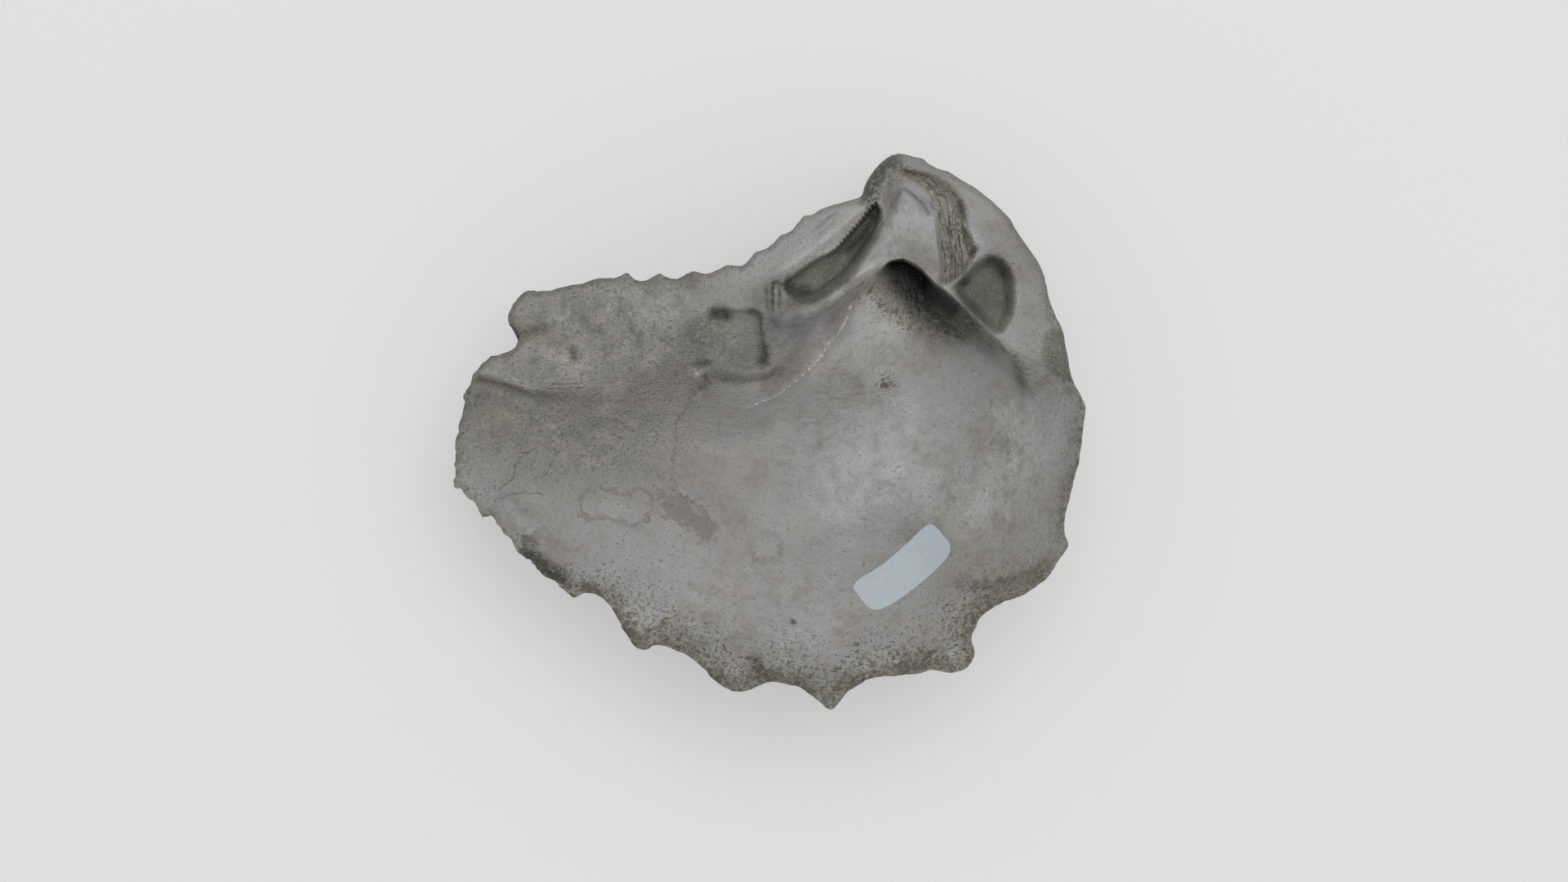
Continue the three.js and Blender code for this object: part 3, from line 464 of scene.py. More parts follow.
# By place across the picture: the slope of the plate's side, where it sets in and how round the corner
# between the plate and the bowl is, in mm, and the height of the tooth's striped side.
SIDE_SLOPE = ([880, 934, 966, 1015, 1043, 1070], [0.55, 0.9, 1.4, 3, 4.5, 5])
SIDE_ONSET = ([880, 960, 1040], [4, 1.5, 0.3])
CORNER_ROUNDING = ([960, 1030, 1075], [4, 2.5, 0.8])
FACET_HEIGHT = ([1143, 1160, 1180, 1192], [0.9, -0.6, -2.2, -2.4])
FACET_TOP_HEIGHT = -1.7
TOOTH = patch(
    (1106, 232), (1119, 242), (1129, 253), (1142, 261), (1154, 267), (1158, 290), (1158, 322), (1151, 346),
    (1140, 356), (1100, 345), (1070, 345), (1048, 346), (1040, 342), (1048, 326), (1066, 303), (1086, 270),
    (1096, 248),
)
TOOTH_HEIGHT = 3.4
TOOTH_HIND_RIM, TOOTH_FRONT_RIM = 3.6, 1.1
FACET = patch(
    (1106, 209), (1124, 212), (1144, 217), (1161, 226), (1171, 240), (1178, 256), (1184, 276), (1190, 296),
    (1191, 312), (1184, 328), (1172, 342), (1158, 350), (1150, 348), (1153, 332), (1151, 312), (1148, 288),
    (1145, 266), (1141, 249), (1131, 233), (1117, 221),
)
TOOTH_SIDE = line(
    (1100, 212), (1117, 221), (1131, 233), (1141, 249), (1145, 266), (1148, 288), (1151, 312), (1153, 332),
    (1152, 352),
)
SOCKET = patch(
    (1071, 249), (1080, 258), (1081, 273), (1075, 292), (1064, 310), (1054, 327), (1042, 343), (1027, 355),
    (1009, 367), (990, 372), (972, 370), (965, 362), (960, 352), (962, 342), (976, 333), (997, 318),
    (1020, 306), (1034, 292), (1052, 271),
)
SOCKET_EDGE = line(
    (1071, 248), (1052, 268), (1034, 288), (1016, 306), (990, 326), (964, 341), (956, 352),
)
SERRATION_HEIGHT, SERRATION_PITCH = 0.16, 0.55
SOCKET_DEPTH = 2.2
SOCKET_TOP_DEPTH = 3.4
SOCKET_WALLS = (0.5, 2.6)
PIT = patch(
    (1168, 350), (1180, 335), (1194, 320), (1214, 312), (1232, 320), (1243, 340), (1245, 366), (1240, 391),
    (1229, 407), (1218, 409), (1206, 399), (1190, 382), (1174, 366),
)
PIT_EDGE = line((1196, 308), (1216, 308), (1234, 317), (1245, 338), (1247, 366), (1241, 395))
PIT_DEPTH = 2.6
PIT_WALLS = (1.6, 1.3)
FRINGE_HEIGHT, FRINGE_PITCH = 0.2, 13.5
SWELL, SWELL_HEIGHT = 5, 0.12
GRAIN, GRAIN_HEIGHT = 1.4, 0.06
HIND_SCAR = patch(
    (868, 380), (884, 376), (902, 379), (924, 378), (932, 384), (934, 402), (937, 422), (942, 440),
    (937, 452), (922, 457), (900, 462), (878, 458), (862, 449), (846, 434), (841, 414), (846, 398),
)
HIND_SCAR_EDGE = line((890, 379), (926, 378), (931, 390), (938, 430), (942, 448), (925, 458))
HIND_SCAR_DEPTH = 1.0
HIND_SCAR_WALLS = (0.5, 3)
GROWTH_LINE = line(
    (1043, 368), (1037, 392), (1028, 408), (1015, 423), (1002, 440), (983, 460), (966, 473), (953, 483),
    (934, 492), (912, 500),
)
FLAKED_EDGE = line(
    (1160, 716), (1175, 709), (1204, 712), (1231, 706), (1244, 702), (1262, 697), (1274, 686), (1290, 676),
)
HIND_AREA = patch(
    (540, 330), (700, 340), (850, 360), (900, 400), (880, 470), (850, 520), (800, 590), (700, 600),
    (600, 580), (540, 540),
)

# Ridges and grooves: path, half width in mm and height in mm. They taper off at both ends.
RELIEF = {
    "nymph": (line((1066, 243), (1040, 266), (1010, 291), (980, 314), (950, 336), (928, 350)), 0.9, 1.1),
    "hinge ridge": (line((1030, 254), (1016, 262), (1006, 271), (997, 280)), 0.4, 0.4),
    "ligament groove": (line((1046, 252), (1026, 264), (1008, 281), (985, 302), (955, 324)), 0.7, -0.5),
    "tooth limb": (line((1078, 316), (1050, 337), (1024, 359), (994, 379), (958, 387)), 1.1, 1.4),
    "limb end": (line((975, 384), (950, 388), (938, 384)), 0.8, 0.4),
    "tooth groove": (line((1109, 256), (1105, 276), (1106, 300), (1112, 320)), 1.0, -0.4),
    "tooth step": (line((1110, 235), (1118, 242), (1127, 250), (1131, 258), (1142, 264)), 0.35, -0.7),
    "tooth top": (line((1094, 256), (1099, 245), (1106, 233), (1116, 241), (1126, 250)), 0.4, 0.5),
    "socket lip": (
        line((1143, 346), (1151, 350), (1162, 349), (1174, 341), (1185, 328), (1191, 314)), 0.4, 1.0,
    ),
    "facet knob": (line((1172, 266), (1180, 277), (1188, 290)), 0.5, 1.1),
    "front ledge": (line((1149, 349), (1167, 363), (1184, 380), (1202, 397), (1219, 414)), 0.3, 0.6),
    "ledge top": (line((1156, 351), (1165, 358)), 0.6, 0.3),
    "beak crevice": (line((1100, 208), (1114, 212), (1130, 219), (1148, 226)), 0.8, -1.0),
    "facet edge": (line((1168, 234), (1176, 250), (1181, 264)), 0.5, -0.6),
    "beak furrow": (line((1060, 242), (1076, 240), (1090, 228), (1100, 214)), 1.2, -0.9),
    "beak side": (line((1070, 232), (1080, 215), (1094, 200)), 0.9, -0.4),
    "pillar": (line((956, 412), (966, 424), (960, 442)), 0.9, 0.5),
    "pillar groove": (
        line((1010, 384), (990, 414), (984, 429), (971, 440), (958, 453), (940, 462), (905, 468), (870, 460)),
        0.7, -0.75,
    ),
    "scar knob": (line((850, 456), (854, 463)), 0.6, 1.1),
    "lower knob": (line((852, 484), (856, 490)), 0.6, 0.5),
    "scar corner": (line((851, 449), (860, 446), (869, 444)), 0.4, -0.5),
    "scar hollow": (line((872, 381), (882, 383), (893, 386)), 0.8, -0.9),
    "block": (line((944, 354), (949, 364), (950, 374)), 1.1, 0.7),
    "first crest": (line((938, 352), (939, 364), (940, 376)), 0.28, -0.3),
    "second crest": (line((946, 350), (946, 364), (946, 378)), 0.28, -0.3),
    "third crest": (line((954, 352), (955, 364), (954, 376)), 0.28, -0.3),
    "hind ridge": (line((578, 453), (600, 459), (625, 466), (650, 474), (690, 480)), 0.8, 0.55),
    "hind groove": (line((576, 463), (600, 468), (616, 472), (634, 479), (655, 485), (690, 491)), 0.55, -0.8),
    "hind groove end": (line((660, 485), (704, 493), (750, 495)), 1.0, -0.35),
    "flaked edge": (FLAKED_EDGE, 0.45, -0.3),
    "growth line": (GROWTH_LINE, 0.45, 0.3),
    "chipped edge": (line((648, 676), (664, 690), (688, 706)), 0.8, -0.9),
    "low knob": (line((1156, 801), (1168, 794), (1176, 796)), 1.0, 0.9),
}


def relief(name, pixels):
    """A ridge or groove along its path, with a bell-shaped section and tapering ends."""
    path, half_width, height = RELIEF[name]
    distance, place = nearest(path, pixels)
    share = place / places_along(path)[-1]
    taper = smoothstep(0, 0.12, share) * smoothstep(0, 0.25, 1 - share)
    return height * mix(0.25, 1, taper) * np.exp(-((distance / half_width) ** 2))


def cover(area, pixels, rim):
    """1 inside an outline and 0 outside it, with a soft rim of that width in mm."""
    return smoothstep(-rim / 2, rim / 2, depth_inside(area, pixels))


def sunk(area, steep_edge, pixels, steep, soft):
    """1 on the floor of a hollow and 0 outside it. Its wall is steep along one edge and soft elsewhere,
    with those widths in mm."""
    depth = depth_inside(area, pixels)
    far = nearest(steep_edge, pixels)[0]
    width = mix(steep, soft, smoothstep(0.4, 2.2, far - np.maximum(depth, 0)))
    return smoothstep(-0.1, 1, depth / width)


def plate_height(pixels):
    """The hinge plate with its tooth, sockets and scar, and its side, which falls away into the bowl in a
    curve. The side is steep under the beak and gentle towards the hind end."""
    x, y = pixels.T
    height = mix(PLATE_HEIGHT_UNDER_BEAK, PLATE_HEIGHT_BEHIND, smoothstep(-1000, -780, -x))
    slope = np.interp(x, *SIDE_SLOPE)
    onset = np.interp(x, *SIDE_ONSET)
    beyond = np.maximum(0, -depth_inside(PLATE, pixels))
    beyond = np.hypot(beyond, onset) - onset
    height -= slope * beyond + SIDE_CURVE * beyond**2
    height -= FRONT_DROP * smoothstep(425, 515, y) * smoothstep(1140, 1200, x)
    to_front = smoothstep(1080, 1112, x)
    flank = mix(cover(TOOTH, pixels, TOOTH_HIND_RIM), cover(TOOTH, pixels, TOOTH_FRONT_RIM), to_front)
    height += TOOTH_HEIGHT * flank
    from_edge, along_edge = nearest(SOCKET_EDGE, pixels)
    serration = SERRATION_HEIGHT * np.cos(2 * np.pi * along_edge / SERRATION_PITCH)
    at_edge = 1 - smoothstep(0.2, 1.2, from_edge)
    serrated = pixels + (serration * at_edge * smoothstep(1010, 1035, x))[:, None] * [6, 8]
    socket_depth = mix(SOCKET_DEPTH, SOCKET_TOP_DEPTH, smoothstep(1010, 1060, x))
    height -= socket_depth * sunk(SOCKET, SOCKET_EDGE, serrated, *SOCKET_WALLS)
    facet = mix(FACET_TOP_HEIGHT, np.interp(x, *FACET_HEIGHT), smoothstep(222, 272, y))
    height = mix(height, facet, cover(FACET, pixels, 0.6))
    return height - PIT_DEPTH * sunk(PIT, PIT_EDGE, pixels, *PIT_WALLS)


def fringe(pixels, to_edge):
    """Short ridges that end at the front margin, as a wave between -1 and 1."""
    x, y = pixels.T
    waves = np.cos(2 * np.pi * (y + 0.25 * x + 3 * noise(pixels, 2.5, 61)) / FRINGE_PITCH)
    there = smoothstep(490, 520, y) * (1 - smoothstep(620, 645, y)) * smoothstep(1240, 1270, x)
    return waves * there * (1 - smoothstep(1, 3.2, to_edge))


def inner_height(pixels, bare):
    """Height of the inner side. Where bare is 1, only the bowl counts. The rounded edge comes last."""
    bowl = bowl_height(pixels)
    x = pixels[:, 0]
    corner = np.interp(x, *CORNER_ROUNDING)
    height = rounded_max(bowl, plate_height(pixels), corner)
    height -= HIND_SCAR_DEPTH * sunk(HIND_SCAR, HIND_SCAR_EDGE, pixels, *HIND_SCAR_WALLS)
    for name in RELIEF:
        height += relief(name, pixels)
    height = mix(height, bowl, bare)
    distance, edge_height, rounding = edge_beside(pixels)
    height += FRINGE_HEIGHT * fringe(pixels, distance)
    worn = mix(1, 2, cover(HIND_AREA, pixels, 8))
    height += worn * (SWELL_HEIGHT * rough(pixels, SWELL, 21) + GRAIN_HEIGHT * rough(pixels, GRAIN, 31))
    return mix(edge_height, height, rounded_in(distance, rounding))


# The rings of the inner side: from the edge to the sill, over the sill, and down the bowl, where every
# second line stops. Over the sill they turn back below the plate: out by a share of the overhang, and
# down by a share of the way from the plate to the bowl. Where it doesn't overhang they go on inwards.
EDGE_RINGS = 56
BOWL_RINGS = 34
SILL_STEPS = 8
STEP_PLACES = np.array([0, 1, 2, 3, 4])
STEP_BACK = np.array([0, -0.06, 0.55, 1, 0.7])
STEP_DOWN = np.array([0, 0.12, 0.3, 0.7, 1])
STEP_ONWARD = 0.7

around_count = len(edge_pixels)
ring_shares = (np.arange(1, EDGE_RINGS + 1) / EDGE_RINGS) ** 1.1
upper_pixels = mix(edge_pixels, sill_pixels, ring_shares[:, None, None]).reshape(-1, 2)
upper_heights = inner_height(upper_pixels, 0)
sill_heights = upper_heights[-around_count:]
sill_outward = sill_pixels - RING_CENTRE
sill_outward /= np.linalg.norm(sill_outward, axis=1, keepdims=True) * MM_PER_PIXEL
side_pixels = []
side_heights = []
for step in range(1, SILL_STEPS + 1):
    place = 4 * step / SILL_STEPS
    back_by = np.interp(place, STEP_PLACES, STEP_BACK) * OVERHANG
    down_by = np.interp(place, STEP_PLACES, STEP_DOWN)
    pixels = sill_pixels + sill_outward * mix(-STEP_ONWARD * place, back_by, edge_overhangs)[:, None]
    below_sill = mix(sill_heights, inner_height(pixels, 1), down_by)
    side_heights.append(mix(inner_height(pixels, 0), below_sill, edge_overhangs))
    side_pixels.append(pixels)
foot = side_pixels[-1][::2]
bowl_shares = np.arange(1, BOWL_RINGS + 1) / (BOWL_RINGS + 1)
lower_pixels = mix(foot, RING_CENTRE, bowl_shares[:, None, None]).reshape(-1, 2)
lower_heights = inner_height(lower_pixels, np.tile(edge_overhangs[::2], BOWL_RINGS))
inner_pixels = np.concatenate([upper_pixels, *side_pixels, lower_pixels, RING_CENTRE[None]])
centre_height = inner_height(RING_CENTRE[None], 0)
inner_heights = np.concatenate([upper_heights, *side_heights, lower_heights, centre_height])
inner_points = points_at(inner_pixels, inner_heights)

# One closed mesh: the back's grid, then the inner side's rings, which start at the back's edge vertices.
back_index = np.arange((COLUMNS + 1) * (BACK_ROWS + 1)).reshape(COLUMNS + 1, BACK_ROWS + 1)
back_index[0, :] = back_index[0, 0]
edge_index = np.concatenate([
    back_index[:COLUMNS, BACK_ROWS],
    back_index[COLUMNS, :0:-1],
    back_index[:0:-1, 0],
])
inner_start = len(back_points)
ring_count = EDGE_RINGS + SILL_STEPS
rings = inner_start + np.arange(ring_count * around_count).reshape(ring_count, around_count)
rings = np.vstack([edge_index, rings])
bowl_start = inner_start + ring_count * around_count
half_count = around_count // 2
bowl_rings = bowl_start + np.arange(BOWL_RINGS * half_count).reshape(BOWL_RINGS, half_count)
centre_index = bowl_start + BOWL_RINGS * half_count


def faces_of(*corners):
    """Faces from one array of vertex numbers for each of their corners."""
    return np.column_stack([numbers.ravel() for numbers in corners]).tolist()


after = np.roll(rings, -1, axis=1)
bowl_after = np.roll(bowl_rings, -1, axis=1)
last = rings[-1]
even, odd, following = last[0::2], last[1::2], np.roll(last, -2)[0::2]
faces = [
    *faces_of(back_index[1:-1, :-1], back_index[1:-1, 1:], back_index[2:, 1:], back_index[2:, :-1]),
    *faces_of(back_index[0, :-1], back_index[1, 1:], back_index[1, :-1]),
    *faces_of(rings[:-1], rings[1:], after[1:], after[:-1]),
    *faces_of(even, bowl_rings[0], odd),
    *faces_of(odd, bowl_rings[0], bowl_after[0]),
    *faces_of(odd, bowl_after[0], following),
    *faces_of(bowl_rings[:-1], bowl_rings[1:], bowl_after[1:], bowl_after[:-1]),
    *faces_of(bowl_rings[-1], np.full(half_count, centre_index), bowl_after[-1]),
]
points = lying(np.concatenate([back_points, inner_points]))
points[:, 2] = np.maximum(points[:, 2], 0)

SHARP_ANGLE = math.radians(50)
mesh = bpy.data.meshes.new("valve")
mesh.from_pydata(points.tolist(), [], faces)
mesh.polygons.foreach_set("use_smooth", np.ones(len(mesh.polygons), bool))
mesh.set_sharp_from_angle(angle=SHARP_ANGLE)


def put(name, data):
    """A new object of the scene."""
    thing = bpy.data.objects.new(name, data)
    bpy.context.scene.collection.objects.link(thing)
    return thing


valve = put("valve", mesh)
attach(valve, "root")
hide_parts("left_valve")

# Where the stains lie, as values from 0 to 1 at each vertex. Silt and shade is dark grey-green mud that sits
# in
# the hollows, together with painted shade: in the hollow under the beak's arch, on the upper walls of the
# socket and the pit, on the walls of the hind scar and in a thin dark line along the rim. At its strongest it
# turns to a painted black shadow. Ochre is a yellow-brown tint, mauve the pink-brown of old scars, pale the
# clean, polished shell together with painted light on the middle of the bowl, the slope beside the hollow and
# the lower rim of the hind scar, dim a darker grey-brown over the hind area and a few patches, and freckled
# where its pores are full of mud.
FRONT_PATCH = patch((1279, 408), (1300, 404), (1310, 430), (1316, 462), (1300, 468), (1282, 452), (1276, 430))
MAUVE_BLOTCH = patch(
    (800, 603), (820, 604), (842, 612), (862, 624), (876, 640), (878, 662), (862, 668), (846, 652),
    (830, 640), (812, 628),
)
WORN_PATCH = patch(
    (712, 604), (716, 630), (744, 634), (762, 641), (783, 642), (797, 626), (797, 608), (782, 601),
    (762, 606), (735, 598),
)


def mark(strength, width, *path):
    """A soft spot around one pixel, or a soft stroke along a path: a bell of that half width in mm."""
    if len(path) == 1:
        distance = np.hypot(*(inner_pixels - path[0]).T) * MM_PER_PIXEL
    else:
        distance = nearest(line(*path), inner_pixels)[0]
    return strength * np.exp(-((distance / width) ** 2))


def most(*values):
    return np.max(np.array([np.broadcast_to(value, len(inner_pixels)) for value in values]), axis=0)


def marks(*rows):
    """The strongest of several marks at each vertex."""
    return most(*(mark(*row) for row in rows))


to_edge = nearest(outline, inner_pixels)[0]
under = (np.arange(len(inner_pixels)) >= len(upper_pixels)).astype(float)
patchy = np.clip(0.45 + 0.7 * rough(inner_pixels, 3.5, 41) + 0.3 * rough(inner_pixels, 1.4, 43), 0, 1)
across_picture, down_picture = inner_pixels.T
belly_start = np.interp(across_picture, [950, 1150, 1260, 1320], [650, 640, 540, 520])
belly_edge = smoothstep(0, 80, down_picture - belly_start)
# Painted shade with the mud: the marks under the plate darken the hollow below the beak's arch. Marks along
# the socket's upper edge, the pit's upper wall, the hind scar's top and right walls and the front ledge's
# foot darken where shade falls.
silt_and_shade = most(
    under * marks(
        (1.2, 1.3, (1092, 322), (1106, 322), (1118, 332), (1132, 344)),
        (1.25, 2.4, (1132, 350), (1148, 364), (1166, 378)), (0.9, 2.2, (1168, 380), (1188, 398)),
        (0.6, 1.6, (1188, 400), (1204, 412), (1214, 420)),
        (0.95, 2.8, (1130, 362), (1150, 380), (1168, 394)),
        (0.75, 1.3, (1098, 344), (1112, 358), (1130, 376), (1146, 388), (1160, 400)),
    ),
    marks(
        (0.6, 0.8, (1222, 420), (1235, 430), (1244, 440), (1249, 455), (1251, 472)),
        (0.3, 0.8, (1240, 440), (1248, 462), (1252, 490)),
        (0.95, 1.8, (1064, 240), (1070, 222), (1080, 206), (1092, 194)),
        (0.6, 1.2, (1094, 222), (1084, 238), (1077, 256)),
        (0.5, 0.9, (1104, 209), (1126, 214), (1148, 224), (1164, 238)),
        (0.35, 1.6, (1112, 204), (1140, 212)), (0.45, 1, (1090, 250), (1082, 268), (1072, 290)),
        (0.6, 0.3, (1096, 246), (1105, 232), (1118, 239), (1129, 249), (1137, 262)),
        (1, 0.7, (1069, 266), (1061, 281), (1050, 295), (1038, 306)), (0.7, 0.4, (1038, 303), (1023, 313)),
        (0.5, 1.5, (1080, 246), (1076, 270)), (0.6, 0.9, (1068, 286), (1056, 304), (1046, 318)),
        (0.3, 0.5, (1018, 315), (994, 329), (972, 342)), (0.8, 0.35, (947, 346), (953, 346), (960, 350)),
        (0.9, 0.8, (967, 350), (976, 354), (986, 356)), (0.45, 0.5, (998, 368), (986, 371), (970, 371)),
        (0.3, 1, (942, 352), (944, 366), (944, 380)), (0.6, 0.3, (938, 352), (939, 364), (940, 376)),
        (0.7, 0.3, (946, 348), (946, 364), (946, 378)), (0.6, 0.3, (954, 352), (955, 364), (954, 376)),
        (0.8, 0.8, (873, 383), (882, 385), (892, 387)), (0.12, 0.6, (895, 381), (910, 380), (922, 380)),
        (0.6, 0.7, (920, 382), (931, 386)), (0.45, 0.9, (931, 392), (934, 404), (936, 416)),
        (0.85, 0.9, (935, 424), (937, 432), (935, 441)), (0.7, 0.45, (851, 449), (860, 446), (869, 444)),
        (0.6, 0.45, (863, 460), (866, 470), (858, 476)),
        (0.45, 0.7, (872, 461), (885, 463), (905, 468), (924, 465), (943, 460), (958, 453)),
        (0.25, 0.6, (843, 402), (839, 411), (852, 391), (868, 381)), (0.8, 0.9, (1181, 346)),
        (0.9, 0.5, (1195, 304), (1191, 311)), (0.85, 1, (1213, 318), (1222, 323), (1229, 334)),
        (0.4, 0.5, (1228, 342), (1233, 362), (1236, 384)),
        (0.6, 0.6, (1172, 356), (1180, 369), (1194, 384), (1207, 396)),
        (0.6, 0.6, (1175, 246), (1179, 256), (1180, 264)), (0.95, 0.9, (924, 808), (930, 822)),
        (0.8, 0.6, (702, 430), (703, 440)), (0.7, 0.8, (626, 412), (645, 407), (665, 402)),
        (0.45, 0.9, (655, 442)), (0.5, 0.7, (676, 452)), (0.7, 0.8, (642, 658), (652, 664), (650, 672)),
        (1, 1.2, (642, 676), (664, 694), (690, 712)),
        (0.45, 0.5, (584, 465), (600, 468), (616, 472), (640, 480), (660, 487)),
        (0.35, 0.9, (660, 487), (690, 492), (720, 496)),
        (0.5, 1.4, (1180, 716), (1204, 720), (1231, 714), (1262, 706), (1280, 694)),
        (0.2, 1, (1060, 812), (1090, 806), (1120, 808), (1150, 812)), (1, 0.42, (971, 762)),
        (0.2, 1.2, (1176, 800), (1190, 780), (1196, 760)),
        (0.5, 1.4, (960, 846), (990, 846), (1018, 856), (1045, 838)),
    ),
    under * smoothstep(0, 1.5, depth_inside(PLATE, inner_pixels)) * (0.75 + 0.25 * patchy),
    patchy * (1 - smoothstep(0.2, 3.6, to_edge)) * belly_edge,
    0.45 * (1 - smoothstep(0.1, 1.2, to_edge)),
    0.45 * patchy * (1 - smoothstep(0.5, 3, to_edge)) * smoothstep(1240, 1270, across_picture),
    patchy * (0.3 - 0.35 * fringe(inner_pixels, to_edge) - 0.3 * (1 - np.abs(fringe(inner_pixels, to_edge)))),
)
ochre = most(
    marks(
        (0.8, 1.2, (1104, 210), (1126, 217), (1148, 224), (1166, 240)),
        (0.5, 0.8, (1008, 313), (986, 327), (966, 339)), (0.6, 0.7, (968, 362), (965, 374), (958, 382)),
        (0.7, 0.9, (1078, 334)), (0.5, 2.2, (1078, 352), (1092, 372), (1112, 388), (1140, 410)),
        (0.6, 0.8, (1282, 468), (1300, 474), (1312, 478)), (0.7, 0.5, (588, 464), (616, 471), (636, 479)),
        (0.5, 0.35, (1052, 354), (1040, 374), (1031, 390), (1016, 416)),
        (0.5, 1.2, (640, 402), (660, 412), (690, 420)), (0.5, 6, (1220, 700)), (0.6, 0.5, (775, 750)),
        (0.4, 3, (605, 520)), (0.4, 1.2, (850, 392)), (0.7, 3, (1212, 360)),
        (0.45, 0.9, (940, 352), (944, 366), (946, 380)),
    ),
    0.55 * (1 - smoothstep(0.2, 4, to_edge)) * belly_edge,
)
mauve = most(
    marks(
        (0.8, 1.6, (1046, 366), (1020, 404), (990, 440), (940, 470)), (0.3, 3, (840, 600), (900, 660)),
        (0.7, 2.8, (700, 492), (780, 478), (850, 458)),
        (0.6, 0.6, (920, 662), (918, 676), (932, 688), (950, 684), (958, 670), (950, 656), (932, 652)),
        (0.4, 1.2, (990, 668), (1020, 655), (1060, 650)), (0.5, 2.6, (840, 540), (850, 590), (900, 640)),
    ),
    0.35 * cover(HIND_AREA, inner_pixels, 14),
)
# Pale is clean shell, and also painted light: the wide marks on the middle of the bowl and beside the hollow
# under the beak, and the lit lower rim of the hind scar.
pale = most(
    marks(
        (0.45, 1, (1078, 316), (1050, 337), (1024, 359), (990, 378), (952, 386)),
        (0.4, 1.2, (1066, 243), (1040, 266), (1008, 291), (974, 316)),
        (0.9, 0.35, (1145, 348), (1152, 351), (1162, 349), (1174, 341), (1185, 328), (1191, 314)),
        (0.7, 0.3, (1149, 349), (1167, 363), (1184, 380), (1202, 397), (1219, 414)),
        (0.6, 0.5, (1156, 351), (1165, 358)), (0.8, 0.5, (1174, 268), (1181, 278), (1188, 290)),
        (0.9, 1.2, (1164, 795)), (1.1, 0.7, (851, 460)), (0.8, 0.5, (854, 487)),
        (0.7, 0.4, (925, 457), (937, 454), (944, 449)), (0.6, 0.25, (942, 354), (942, 374)),
        (0.6, 0.25, (950, 354), (950, 374)), (0.5, 0.9, (954, 414), (966, 424), (958, 444)),
        (0.6, 0.7, (583, 456), (600, 460), (625, 467), (650, 475)), (0.9, 8.5, (1078, 560)),
        (0.8, 5, (1070, 430)), (0.5, 6, (790, 372)), (0.3, 3, (680, 384)),
        (0.25, 1.2, (640, 428), (690, 442), (720, 450)), (0.3, 9, (870, 710)), (0.4, 6, (1000, 760)),
        (0.7, 4, (1236, 520), (1250, 550), (1200, 620)), (0.9, 0.25, (640, 655), (652, 650), (660, 644)),
        (0.3, 2, (752, 626)), (0.35, 2.5, (640, 620)),
    ),
    0.35 * cover(TOOTH, inner_pixels, 1),
)
dim = most(
    marks(
        (0.5, 4, (840, 500), (800, 540), (760, 600)), (0.45, 1.6, (1222, 500), (1240, 560)),
        (0.45, 1.3, (1180, 590), (1150, 640), (1120, 660)),
        (0.4, 1, (1062, 634), (1066, 616), (1082, 596), (1100, 580)),
        (0.5, 1.6, (900, 850), (960, 830), (1040, 840)), (0.5, 2, (1284, 380), (1270, 330), (1240, 280)),
        (0.6, 2.4, (1258, 380), (1266, 420), (1272, 450)),
    ),
    cover(HIND_AREA, inner_pixels, 15),
    0.5 * smoothstep(1120, 1300, across_picture) * smoothstep(620, 720, down_picture),
)
freckled = most(
    marks(
        (1.15, 2.4, (1062, 354), (1080, 372), (1104, 392)), (1.5, 1.5, (1086, 470)), (0.7, 4, (870, 740)),
        (0.6, 6, (720, 560)), (0.9, 1.6, (735, 556)), (0.8, 3, (655, 415)), (0.8, 2, (700, 440)),
        (0.6, 1.2, (1062, 634), (1066, 616), (1082, 596), (1100, 580)),
    ),
    1.15 * (1 - smoothstep(1, 11, to_edge)) * smoothstep(620, 740, down_picture),
    0.7 * cover(HIND_AREA, inner_pixels, 8),
    0.8 * (1 - smoothstep(0.5, 4, to_edge)) * (1 - smoothstep(860, 960, across_picture)),
    0.8 * (1 - smoothstep(0.5, 4, to_edge)) * smoothstep(1240, 1290, across_picture),
    0.3,
)
